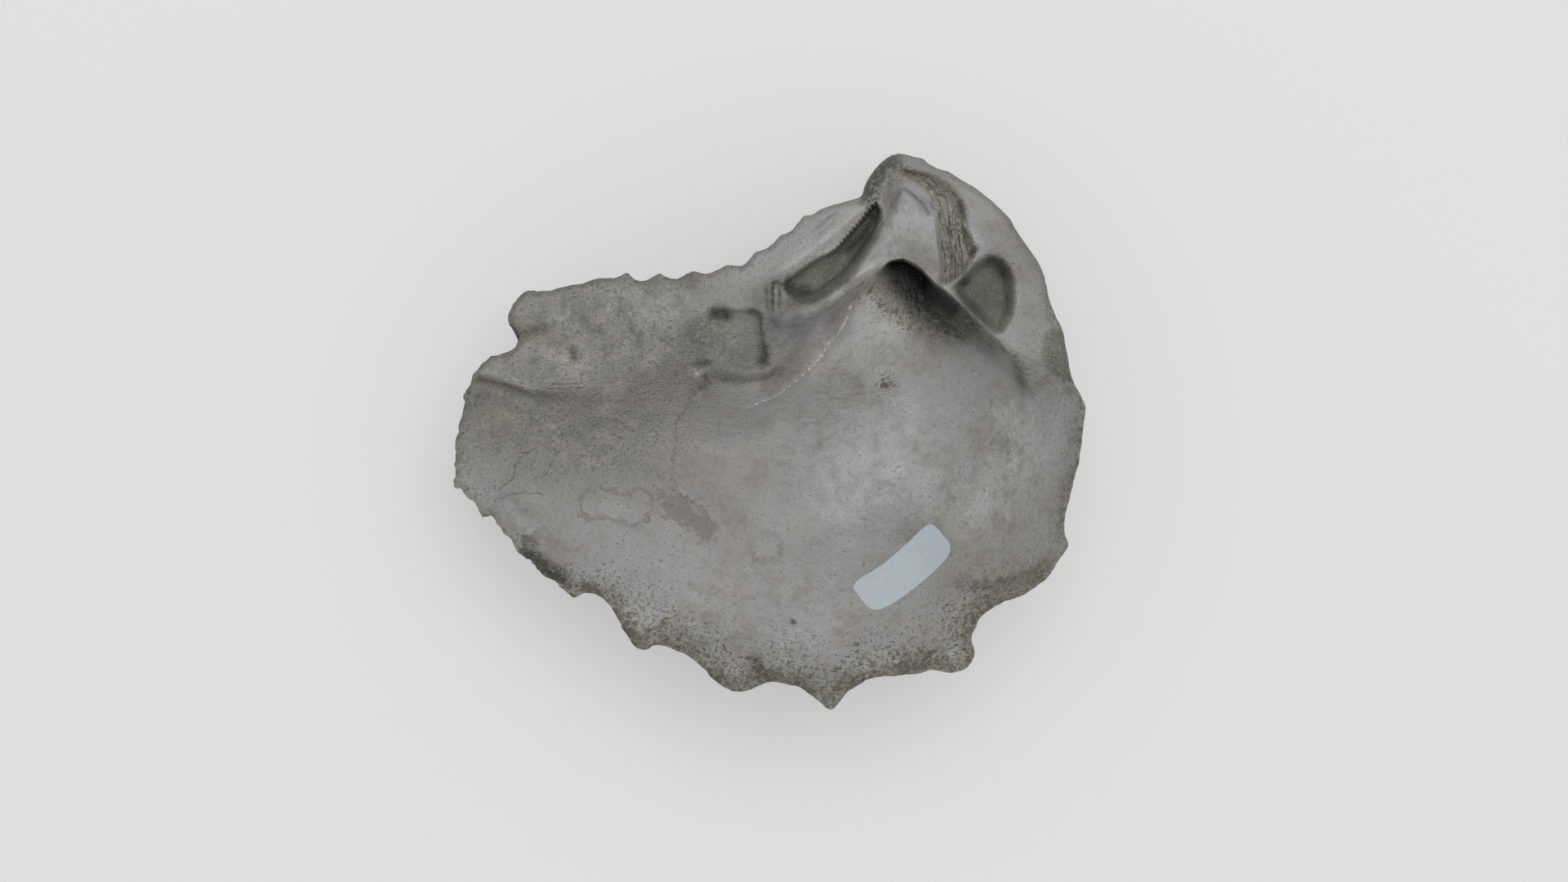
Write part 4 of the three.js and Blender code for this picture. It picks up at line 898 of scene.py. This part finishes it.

# Painted light and shade, with some corrections of the shell's own brightness: local brightening and
# darkening, which add up.
painted_light_and_tone = sum(mark(*row) for row in (
    (0.2, 4.5, (1110, 450), (1160, 465), (1200, 450)), (0.2, 4, (660, 450), (740, 470), (820, 500)),
    (-0.25, 1.8, (1030, 350), (1000, 370), (960, 372), (930, 366)), (0.3, 1.6, (1064, 352), (1044, 384)),
    (-0.25, 1.2, (1094, 244), (1084, 262)), (0.3, 2.4, (1104, 388)), (0.25, 1.2, (1064, 268)),
    (-0.12, 2, (1210, 366)), (-0.1, 1.5, (1296, 430)), (0.3, 1.2, (1184, 298)),
    (0.3, 2, (1074, 372), (1092, 392)), (0.2, 1, (968, 332), (1004, 314)),
    (0.15, 0.8, (1076, 256), (1092, 262)), (-0.2, 1, (948, 342), (958, 352)), (-0.2, 2, (1138, 316)),
    (-0.12, 2, (1100, 310)), (-0.35, 1.4, (950, 395), (958, 410), (975, 400)),
    (0.25, 2.2, (1056, 372), (1070, 395), (1094, 400)), (0.25, 1.2, (1046, 272), (1010, 306)),
    (-0.15, 1.5, (1216, 285), (1250, 340)), (-0.2, 1.6, (740, 345), (790, 348), (840, 345)),
    (-0.15, 3, (1080, 640), (1120, 650)), (-0.15, 2, (830, 790), (900, 790)),
    (-0.15, 3, (620, 610), (660, 650), (690, 690)), (0.12, 3, (800, 520), (860, 520), (920, 510)),
    (0.15, 2, (770, 752), (780, 760)), (-0.3, 1.6, (1098, 706), (1112, 700)),
    (-0.12, 2, (940, 396), (958, 400)), (0.1, 3, (600, 460), (680, 455), (740, 470)),
    (0.3, 1.2, (1010, 424), (1004, 436), (990, 452)), (-0.22, 1.4, (1194, 372)), (-0.1, 3.5, (1120, 320)),
    (-0.12, 3, (1212, 350)), (0.4, 0.6, (852, 456)), (-0.15, 1.6, (1190, 406), (1214, 424)),
    (0.3, 1.4, (1060, 818), (1090, 812)), (0.18, 2.4, (950, 488), (985, 462), (1015, 430), (1045, 425)),
    (0.12, 3, (950, 640), (1020, 625), (1040, 640)), (0.22, 1.1, (1078, 250), (1074, 282)),
    (0.15, 1.2, (1184, 312)), (0.2, 1, (862, 404)), (0.25, 0.6, (1241, 350), (1241, 372), (1232, 396)),
    (0.15, 0.7, (1060, 322), (1044, 344), (1024, 360)), (-0.15, 1.6, (1130, 370)),
    (-0.15, 1, (880, 462), (905, 464)), (0.2, 1.5, (774, 762)), (0.2, 2, (1190, 735), (1190, 765)),
    (0.15, 1.2, (1276, 455), (1290, 462)), (0.15, 2, (1064, 262)),
))

# The back is dull and brown, and cleaner on the crests of its ribs.
crests = np.clip(stand / RIB_HEIGHT, 0, 1)
none = 0 * crests
AREAS = {
    "in socket": SOCKET, "in pit": PIT, "in facet": FACET, "in scar": HIND_SCAR, "in patch": FRONT_PATCH,
    "in blotch": MAUVE_BLOTCH, "in worn patch": WORN_PATCH,
}
insides = {
    name: (none - 3, np.clip(depth_inside(area, inner_pixels), -3, 3)) for name, area in AREAS.items()
}
stains = {
    "silt_and_shade": (0.5 - 0.35 * crests, silt_and_shade),
    "ochre": (0.45 - 0.2 * crests, ochre),
    "mauve": (0.15 + none, mauve),
    "pale": (0.3 * crests, pale),
    "dim": (0.5 + none, dim),
    "freckled": (0.6 + none, freckled),
    **insides,
    "painted_light_and_tone": (none, painted_light_and_tone),
    "inner side": (none, np.ones(len(inner_pixels))),
}
for name, (outside, inside) in stains.items():
    attribute = mesh.attributes.new(name, "FLOAT", "POINT")
    attribute.data.foreach_set("value", np.concatenate([outside, inside]).astype(np.float32))

# Thin lines are drawn by the material. Each vertex has its distance in mm to the side of the line, its
# place along the line, and the line's length.
THIN_LINES = {
    "growth line": GROWTH_LINE,
    "facet side": TOOTH_SIDE,
    "crack": line((606, 605), (612, 611), (625, 606), (644, 603), (656, 604), (672, 607)),
    "second crack": line((606, 605), (618, 594), (629, 584), (632, 568), (644, 556), (655, 549), (658, 541)),
    "third crack": line((659, 588), (670, 579), (676, 564), (681, 549), (684, 540)),
    "hind lines": line((620, 462), (650, 469), (680, 473), (704, 472), (722, 470)),
    "pallial line": line(
        (859, 464), (850, 483), (837, 504), (829, 520), (827, 542), (824, 566), (825, 593), (836, 608),
        (858, 620), (872, 636),
    ),
    "limb foot": line((1068, 338), (1052, 349), (1031, 365), (1014, 380), (998, 389), (975, 392)),
}


def beside(path):
    """Signed distance to a path, place along it and its length, all in mm, at each inner vertex."""
    distance, place = nearest(path, inner_pixels)
    places = places_along(path)
    ahead, behind = (
        np.column_stack([np.interp(place + step, places, path[:, k]) for k in (0, 1)])
        for step in (0.1, -0.1)
    )
    way, offset = ahead - behind, inner_pixels - (ahead + behind) / 2
    side = np.sign(way[:, 0] * offset[:, 1] - way[:, 1] * offset[:, 0])
    return np.column_stack([distance * side, place, np.full(len(place), places[-1])])


for name, path in THIN_LINES.items():
    attribute = mesh.attributes.new(name, "FLOAT_VECTOR", "POINT")
    values = np.vstack([np.full((len(back_points), 3), (9.0, 0, 1)), beside(path)])
    attribute.data.foreach_set("vector", values.ravel().astype(np.float32))


# The material. Object coordinates are taken in mm, so a noise's scale is its patches per mm.
def node_makers(tree):
    """Functions that add to a tree: any node, a maths node, a smooth ramp, and a mix of one colour over
    another. Their inputs are values or outputs of other nodes, and they give back an output."""

    def add(kind, inputs=None, output=0, **settings):
        node = tree.nodes.new(kind)
        for name, value in settings.items():
            setattr(node, name, value)
        for name, value in (inputs or {}).items():
            if isinstance(value, bpy.types.NodeSocket):
                tree.links.new(value, node.inputs[name])
            else:
                node.inputs[name].default_value = value
        return node.outputs[output]

    def maths(operation, *values):
        return add("ShaderNodeMath", dict(enumerate(values)), operation=operation)

    def ramp(value, low, high, to_low=0.0, to_high=1.0):
        inputs = {"Value": value, "From Min": low, "From Max": high, "To Min": to_low, "To Max": to_high}
        return add("ShaderNodeMapRange", inputs, interpolation_type="SMOOTHSTEP")

    def tint(share, under, over):
        return add("ShaderNodeMix", {"Factor": share, 6: under, 7: over}, output=2, data_type="RGBA")

    return add, maths, ramp, tint


# A thin line as a mask: full within its half width, broken up by a noise, and tapering at its ends.
thin_line = bpy.data.node_groups.new("thin line", "ShaderNodeTree")
thin_line.interface.new_socket(name="Place", in_out="INPUT", socket_type="NodeSocketVector")
for name in ("Half Width", "Wobble"):
    thin_line.interface.new_socket(name=name, in_out="INPUT", socket_type="NodeSocketFloat")
thin_line.interface.new_socket(name="Mask", in_out="OUTPUT", socket_type="NodeSocketFloat")
given = thin_line.nodes.new("NodeGroupInput").outputs
add, maths, ramp, _ = node_makers(thin_line)
across, along_line, length = (
    add("ShaderNodeSeparateXYZ", {0: given["Place"]}, output=k) for k in range(3)
)
away = maths("ABSOLUTE", maths("ADD", across, given["Wobble"]))
mask = ramp(away, given["Half Width"], 0.0)
mask = maths("MULTIPLY", mask, ramp(along_line, 0.0, 0.8))
from_end = maths("SUBTRACT", length, along_line)
mask = maths("MULTIPLY", mask, ramp(from_end, 0.0, 1.2))
thin_line.links.new(mask, thin_line.nodes.new("NodeGroupOutput").inputs["Mask"])

material = bpy.data.materials.new("fossil shell")
material.use_nodes = True
shell = material.node_tree
shader = shell.nodes["Principled BSDF"]
add, maths, ramp, tint = node_makers(shell)


def times(a, b):
    return maths("MULTIPLY", a, b)


def larger(a, b):
    return maths("MAXIMUM", a, b)


def stain(name, output="Fac"):
    """A value of the mesh, or a vector of it."""
    return add("ShaderNodeAttribute", output=output, attribute_name=name)


def speckle(scale, detail=4.0, roughness=0.6, distortion=0.0):
    """A noise around 0, mostly between -1 and 1."""
    inputs = {"Vector": in_mm, "Scale": scale, "Detail": detail, "Roughness": roughness}
    value = add("ShaderNodeTexNoise", inputs | {"Distortion": distortion})
    return maths("MULTIPLY_ADD", value, 5.0, -2.5)


def plus(value, *others):
    """A value with others added, each with its weight."""
    for other, weight in others:
        value = maths("MULTIPLY_ADD", other, weight, value)
    return value


object_place = add("ShaderNodeTexCoord", output="Object")
in_mm = add("ShaderNodeVectorMath", {0: object_place, 3: 1000.0}, operation="SCALE")
clouds = speckle(0.1, 2)
mottle = speckle(0.4, 3, 0.6, 0.6)
smudges = speckle(1.3, 2, 0.6)
grit = speckle(3.0, 1, 0.65)
grain = speckle(8.0, 0)


def drawn(name, half_width, wobble=0.12):
    """The mask of a thin line."""
    node = shell.nodes.new("ShaderNodeGroup")
    node.node_tree = thin_line
    place = stain(name, "Vector")
    shell.links.new(place, node.inputs["Place"])
    shell.links.new(times(smudges, wobble), node.inputs["Wobble"])
    node.inputs["Half Width"].default_value = half_width
    return node.outputs["Mask"]


WARM_SHELL = (0.32, 0.303, 0.279, 1)
COOL_SHELL = (0.29, 0.299, 0.296, 1)
DIM_SHELL = (0.214, 0.212, 0.192, 1)
PALE_SHELL_AND_LIGHT = (0.415, 0.415, 0.402, 1)
DARK_SILT_AND_SHADE = (0.06, 0.058, 0.043, 1)
BLACK_SHADOW_AND_SILT = (0.012, 0.0115, 0.009, 1)
SILT_PALE = (0.088, 0.088, 0.068, 1)
SILT_LIGHT = (0.225, 0.228, 0.194, 1)
OCHRE = (0.19, 0.165, 0.112, 1)
MAUVE = (0.19, 0.168, 0.157, 1)
FRECKLE = (0.085, 0.077, 0.055, 1)
CRACK = (0.045, 0.037, 0.022, 1)
GROWTH_DOT = (0.7, 0.7, 0.7, 1)
PALE_FLECK = (0.6, 0.6, 0.58, 1)
OLIVE_MUD = (0.09, 0.082, 0.052, 1)
FACET_DARK = (0.18, 0.172, 0.132, 1)
FACET_LIGHT = (0.295, 0.288, 0.245, 1)
PAINT = (0.43, 0.49, 0.52)
SHELL_ROUGHNESS = 0.74
SHELL_SPECULAR = 0.3
BRIGHTNESS = 0.935

colour = tint(ramp(plus(clouds, (mottle, 0.7), (smudges, 0.4)), -1, 1), WARM_SHELL, COOL_SHELL)
dim_share = ramp(plus(stain("dim"), (clouds, 0.1), (mottle, 0.3), (smudges, 0.2)), -0.1, 1.1)
colour = tint(dim_share, colour, DIM_SHELL)
pale_and_lit_share = ramp(plus(stain("pale"), (mottle, 0.2), (smudges, 0.1)), 0.0, 1.1)
colour = tint(pale_and_lit_share, colour, PALE_SHELL_AND_LIGHT)
mauve_share = ramp(plus(stain("mauve"), (mottle, 0.35), (smudges, 0.25)), 0.1, 1.1, 0, 0.9)
colour = tint(mauve_share, colour, MAUVE)
blotch_edge = plus(0.0, (smudges, 0.6), (mottle, 0.8))
blotch = ramp(plus(stain("in blotch"), (blotch_edge, 1.2)), -0.3, 0.8, 0, 0.8)
worn_rim = maths("ABSOLUTE", plus(stain("in worn patch"), (blotch_edge, 0.6)))
worn_rim = times(ramp(worn_rim, 0.45, 0.0, 0, 0.95), ramp(plus(mottle, (grit, 0.5)), -1.2, 0.6))
colour = tint(larger(blotch, worn_rim), colour, MAUVE)
ochre_share = ramp(plus(stain("ochre"), (smudges, 0.3), (grit, 0.2)), 0.1, 1.1, 0, 0.85)
colour = tint(ochre_share, colour, OCHRE)

# The floors of the hollows are covered with paler silt, which is mixed from dark and light grains.
silt_colour = tint(ramp(plus(grit, (smudges, 0.6), (grain, 0.4)), -1.8, 1.8), SILT_PALE, SILT_LIGHT)
facet_colour = tint(ramp(plus(grit, (smudges, 0.8)), -1.5, 1.5), FACET_DARK, FACET_LIGHT)
SILT_COVER = {"in socket": 1.0, "in pit": 0.9, "in facet": 1.0, "in scar": 0.6, "in patch": 0.95}
for name, amount in SILT_COVER.items():
    floor_share = ramp(plus(stain(name), (smudges, 0.2)), -0.3, 0.4, 0, amount)
    grimy = times(floor_share, ramp(plus(grit, (smudges, 0.7)), -2.2, 0.4, 0.3, 1))
    colour = tint(grimy, colour, facet_colour if name == "in facet" else silt_colour)
silt_and_shade_there = stain("silt_and_shade")
silt_grain = plus(1.0, (mottle, 0.4), (smudges, 0.45), (grit, 0.35))
silt_and_shade_share = ramp(times(silt_and_shade_there, silt_grain), 0.0, 1.2)
# Painted shade: silt and shade darkens to its dark colour. Where it is strongest, mostly in the hollow under
# the beak, it darkens to a painted black shadow.
colour = tint(times(silt_and_shade_share, 0.92), colour, DARK_SILT_AND_SHADE)
colour = tint(ramp(plus(silt_and_shade_there, (grit, 0.06)), 0.85, 1.4), colour, BLACK_SHADOW_AND_SILT)

# Fine lines: the stripes on the tooth's side, the cracks, the scar lines and the dotted growth line, and a
# painted shade line in the crease at the foot of the tooth's limb, drawn with the cracks.
facet_place = stain("facet side", "Vector")
hair_place = add("ShaderNodeVectorMath", {0: facet_place, 1: (2.0, 0.28, 0)}, operation="MULTIPLY")
hair_noise = {"Vector": hair_place, "Scale": 1.0, "Detail": 1.0, "Roughness": 0.6}
hair = maths("ABSOLUTE", maths("SUBTRACT", add("ShaderNodeTexNoise", hair_noise), 0.5))
stripes = ramp(hair, 0.05, 0.006)
broken = ramp(maths("ABSOLUTE", plus(speckle(0.7, 0), (grit, 0.06))), 0.12, 0.02, 0, 0.9)
stripes = larger(stripes, broken)
stripes = times(stripes, ramp(stain("in facet"), 0.0, 0.5))
stripes = times(stripes, ramp(plus(grit, (smudges, 0.8)), -1.8, 0.6, 0.1, 0.85))
colour = tint(stripes, colour, CRACK)
cracks_and_limb_shade = larger(drawn("crack", 0.14), drawn("second crack", 0.12))
cracks_and_limb_shade = larger(cracks_and_limb_shade, drawn("third crack", 0.11))
# Painted shade: a dark line in the crease at the foot of the tooth's limb.
cracks_and_limb_shade = larger(cracks_and_limb_shade, times(drawn("limb foot", 0.16, 0.06), 0.8))
cracks_and_limb_shade = times(cracks_and_limb_shade, ramp(plus(grit, (smudges, 0.8)), -1.2, 1.2, 0.1, 0.75))
colour = tint(cracks_and_limb_shade, colour, FRECKLE)
pallial = times(drawn("pallial line", 0.4, 0.3), ramp(grit, -0.6, 0.6, 0, 0.6))
colour = tint(pallial, colour, FRECKLE)
growth_dots = times(drawn("growth line", 0.26, 0.08), ramp(plus(grit, (grain, 0.6)), -0.5, 0.9, 0, 0.8))
colour = tint(growth_dots, colour, GROWTH_DOT)
hind_place = stain("hind lines", "Vector")
hind_across = add("ShaderNodeSeparateXYZ", {0: hind_place})
hind_waves = maths("SINE", times(plus(hind_across, (smudges, 0.06)), 12.0))
hind_waves = times(hind_waves, drawn("hind lines", 1.3, 0))

# Veins: thin, winding dark lines where the shell is worn, along the zero line of a noise.
winding = maths("ABSOLUTE", speckle(0.28, 3, 0.6, 0.5))
veins = ramp(plus(winding, (grit, 0.01)), 0.085, 0.0)
vein_place = ramp(plus(stain("dim"), (stain("mauve"), 0.6), (clouds, 0.5)), 0.5, 1.5)
veins = times(veins, times(vein_place, ramp(smudges, -0.8, 0.8)))
colour = tint(times(veins, 0.5), colour, FRECKLE)

# Freckles: small specks of mud in the shell's pores, thickest where it is freckled, and a few pale ones.
specks = speckle(2.3, 1, 0.55)
fine_specks = speckle(4.4, 0)
speck_level = plus(-1.4, (stain("freckled"), 0.85), (mottle, 0.4), (clouds, 0.1))
pore = ramp(maths("ADD", specks, speck_level), 0.0, 0.45)
pore = larger(pore, ramp(plus(fine_specks, (speck_level, 1.0)), -0.1, 0.5))
colour = tint(times(pore, 0.5), colour, FRECKLE)
colour = tint(ramp(fine_specks, -1.3, -2.0, 0, 0.3), colour, PALE_FLECK)

# Blots of olive mud, a few tenths of a mm wide, where the shell is most freckled.
blots = ramp(plus(-1.95, (speckle(1.5, 2, 0.7), 1.0), (stain("freckled"), 1.6)), 0.0, 0.45, 0, 0.8)
colour = tint(blots, colour, OLIVE_MUD)

# Fine variation of brightness, stronger where the shell is dim and under the silt and painted shade, with the
# painted light and shade of the local corrections on top.
contrast = plus(1.0, (stain("dim"), 1.4), (silt_and_shade_share, 1.5))
uneven = plus(0.0, (grit, 0.04), (grain, 0.03), (smudges, 0.07), (mottle, 0.12), (clouds, 0.06))
light = plus(BRIGHTNESS, (times(uneven, contrast), 1.0), (stain("painted_light_and_tone"), 1.0))
colour = add("ShaderNodeVectorMath", {0: colour, 3: light}, operation="SCALE")

# A strip of white paint in the bowl, with rounded ends and slightly bent.
PAINT_PIXEL = np.array([[1108.0, 699.0]])
PAINT_LENGTH, PAINT_WIDTH, PAINT_BEND = 12.2, 4.2, 0.02
PAINT_TURN = math.radians(38)
paint_at = lying(points_at(PAINT_PIXEL, bowl_height(PAINT_PIXEL)))[0] * 1000
placing = {"Vector": in_mm, "Location": tuple(paint_at), "Rotation": (0, 0, PAINT_TURN)}
paint_place = add("ShaderNodeMapping", placing, vector_type="TEXTURE")
paint_x, paint_y = (add("ShaderNodeSeparateXYZ", {0: paint_place}, output=k) for k in (0, 1))
bend = times(times(paint_x, paint_x), PAINT_BEND)
lengthwise = maths("ABSOLUTE", maths("DIVIDE", paint_x, PAINT_LENGTH / 2))
crosswise = maths("ABSOLUTE", maths("DIVIDE", maths("SUBTRACT", paint_y, bend), PAINT_WIDTH / 2))
paint_rim = maths("ADD", maths("POWER", lengthwise, 9.0), maths("POWER", crosswise, 4.0))
paint = ramp(plus(paint_rim, (smudges, 0.06)), 1.08, 0.94)
paint = times(paint, stain("inner side"))
paint_light = plus(1.0, (smudges, 0.03), (grit, 0.015))
paint_colour = add("ShaderNodeVectorMath", {0: PAINT, 3: paint_light}, operation="SCALE")
colour = tint(paint, colour, paint_colour)
shell.links.new(colour, shader.inputs["Base Color"])

roughness = plus(SHELL_ROUGHNESS, (silt_and_shade_share, 0.12), (grit, 0.04))
shell.links.new(roughness, shader.inputs["Roughness"])
shader.inputs["Specular IOR Level"].default_value = SHELL_SPECULAR

# The finest relief in mm: grit, thickest under the silt and shade, pores, cracks, the limb's foot and lines.
gritty = plus(0.012, (silt_and_shade_there, 0.06), (stain("dim"), 0.03))
bumps = times(grit, gritty)
pits = ramp(plus(specks, (stain("freckled"), 0.75)), 1.1, 1.55)
bumps = plus(bumps, (grain, 0.004), (smudges, 0.03), (pits, -0.06), (cracks_and_limb_shade, -0.12), (hind_waves, 0.06))
bumps = plus(bumps, (growth_dots, 0.12), (pallial, -0.08), (stripes, -0.1))
bumps = times(bumps, plus(1.0, (paint, -0.7)))
bump = add("ShaderNodeBump", {"Height": bumps, "Strength": 1.0, "Distance": 0.001})
shell.links.new(bump, shader.inputs["Normal"])
mesh.materials.append(material)

# THE CAMERA
# It looks straight down on the hollow side, so that the valve lies in the frame as in the photograph.
camera_data = bpy.data.cameras.new("camera")
camera_data.lens = LENS
camera_data.sensor_width = SENSOR
camera = put("camera", camera_data)
camera.location = lying(np.array([[0, 0, EYE_DISTANCE]]))[0]
camera.rotation_euler = Matrix(REST_TURN.tolist()).to_euler()
bpy.context.scene.camera = camera

# THE FLOOR AND THE LIGHT
# A pale light table, lit from below and above, and a soft studio light, a little stronger from the beak's
# side.
FLOOR_HALF = 3.0
FLOOR_GREY = (0.37, 0.37, 0.37, 1)
FLOOR_GLOW = 0.36
FLOOR_ROUGHNESS = 0.95
STUDIO_LIGHT = 0.7
KEY_PLACE = (0.1, 0.4, 1.05)
KEY_SIZE = 0.9
KEY_POWER = 5.0
WHITE = (1, 1, 1, 1)
floor_mesh = bpy.data.meshes.new("floor")
floor_corners = [(FLOOR_HALF * x, FLOOR_HALF * y, 0) for x, y in ((-1, -1), (1, -1), (1, 1), (-1, 1))]
floor_mesh.from_pydata(floor_corners, [], [(0, 1, 2, 3)])
floor = put("floor", floor_mesh)
floor_material = bpy.data.materials.new("pale floor")
floor_material.use_nodes = True
floor_shader = floor_material.node_tree.nodes["Principled BSDF"]
floor_shader.inputs["Base Color"].default_value = FLOOR_GREY
floor_shader.inputs["Emission Color"].default_value = WHITE
floor_shader.inputs["Emission Strength"].default_value = FLOOR_GLOW
floor_shader.inputs["Roughness"].default_value = FLOOR_ROUGHNESS
floor_mesh.materials.append(floor_material)

world = bpy.data.worlds.new("studio")
world.use_nodes = True
background = world.node_tree.nodes["Background"]
background.inputs["Color"].default_value = WHITE
background.inputs["Strength"].default_value = STUDIO_LIGHT
bpy.context.scene.world = world

key_data = bpy.data.lights.new("key", "AREA")
key_data.shape = "DISK"
key_data.size = KEY_SIZE
key_data.energy = KEY_POWER
key = put("key", key_data)
key.location = KEY_PLACE
key.rotation_mode = "QUATERNION"
key.rotation_quaternion = (-Vector(KEY_PLACE)).to_track_quat("-Z", "Y")

bpy.context.scene.view_settings.view_transform = "Standard"
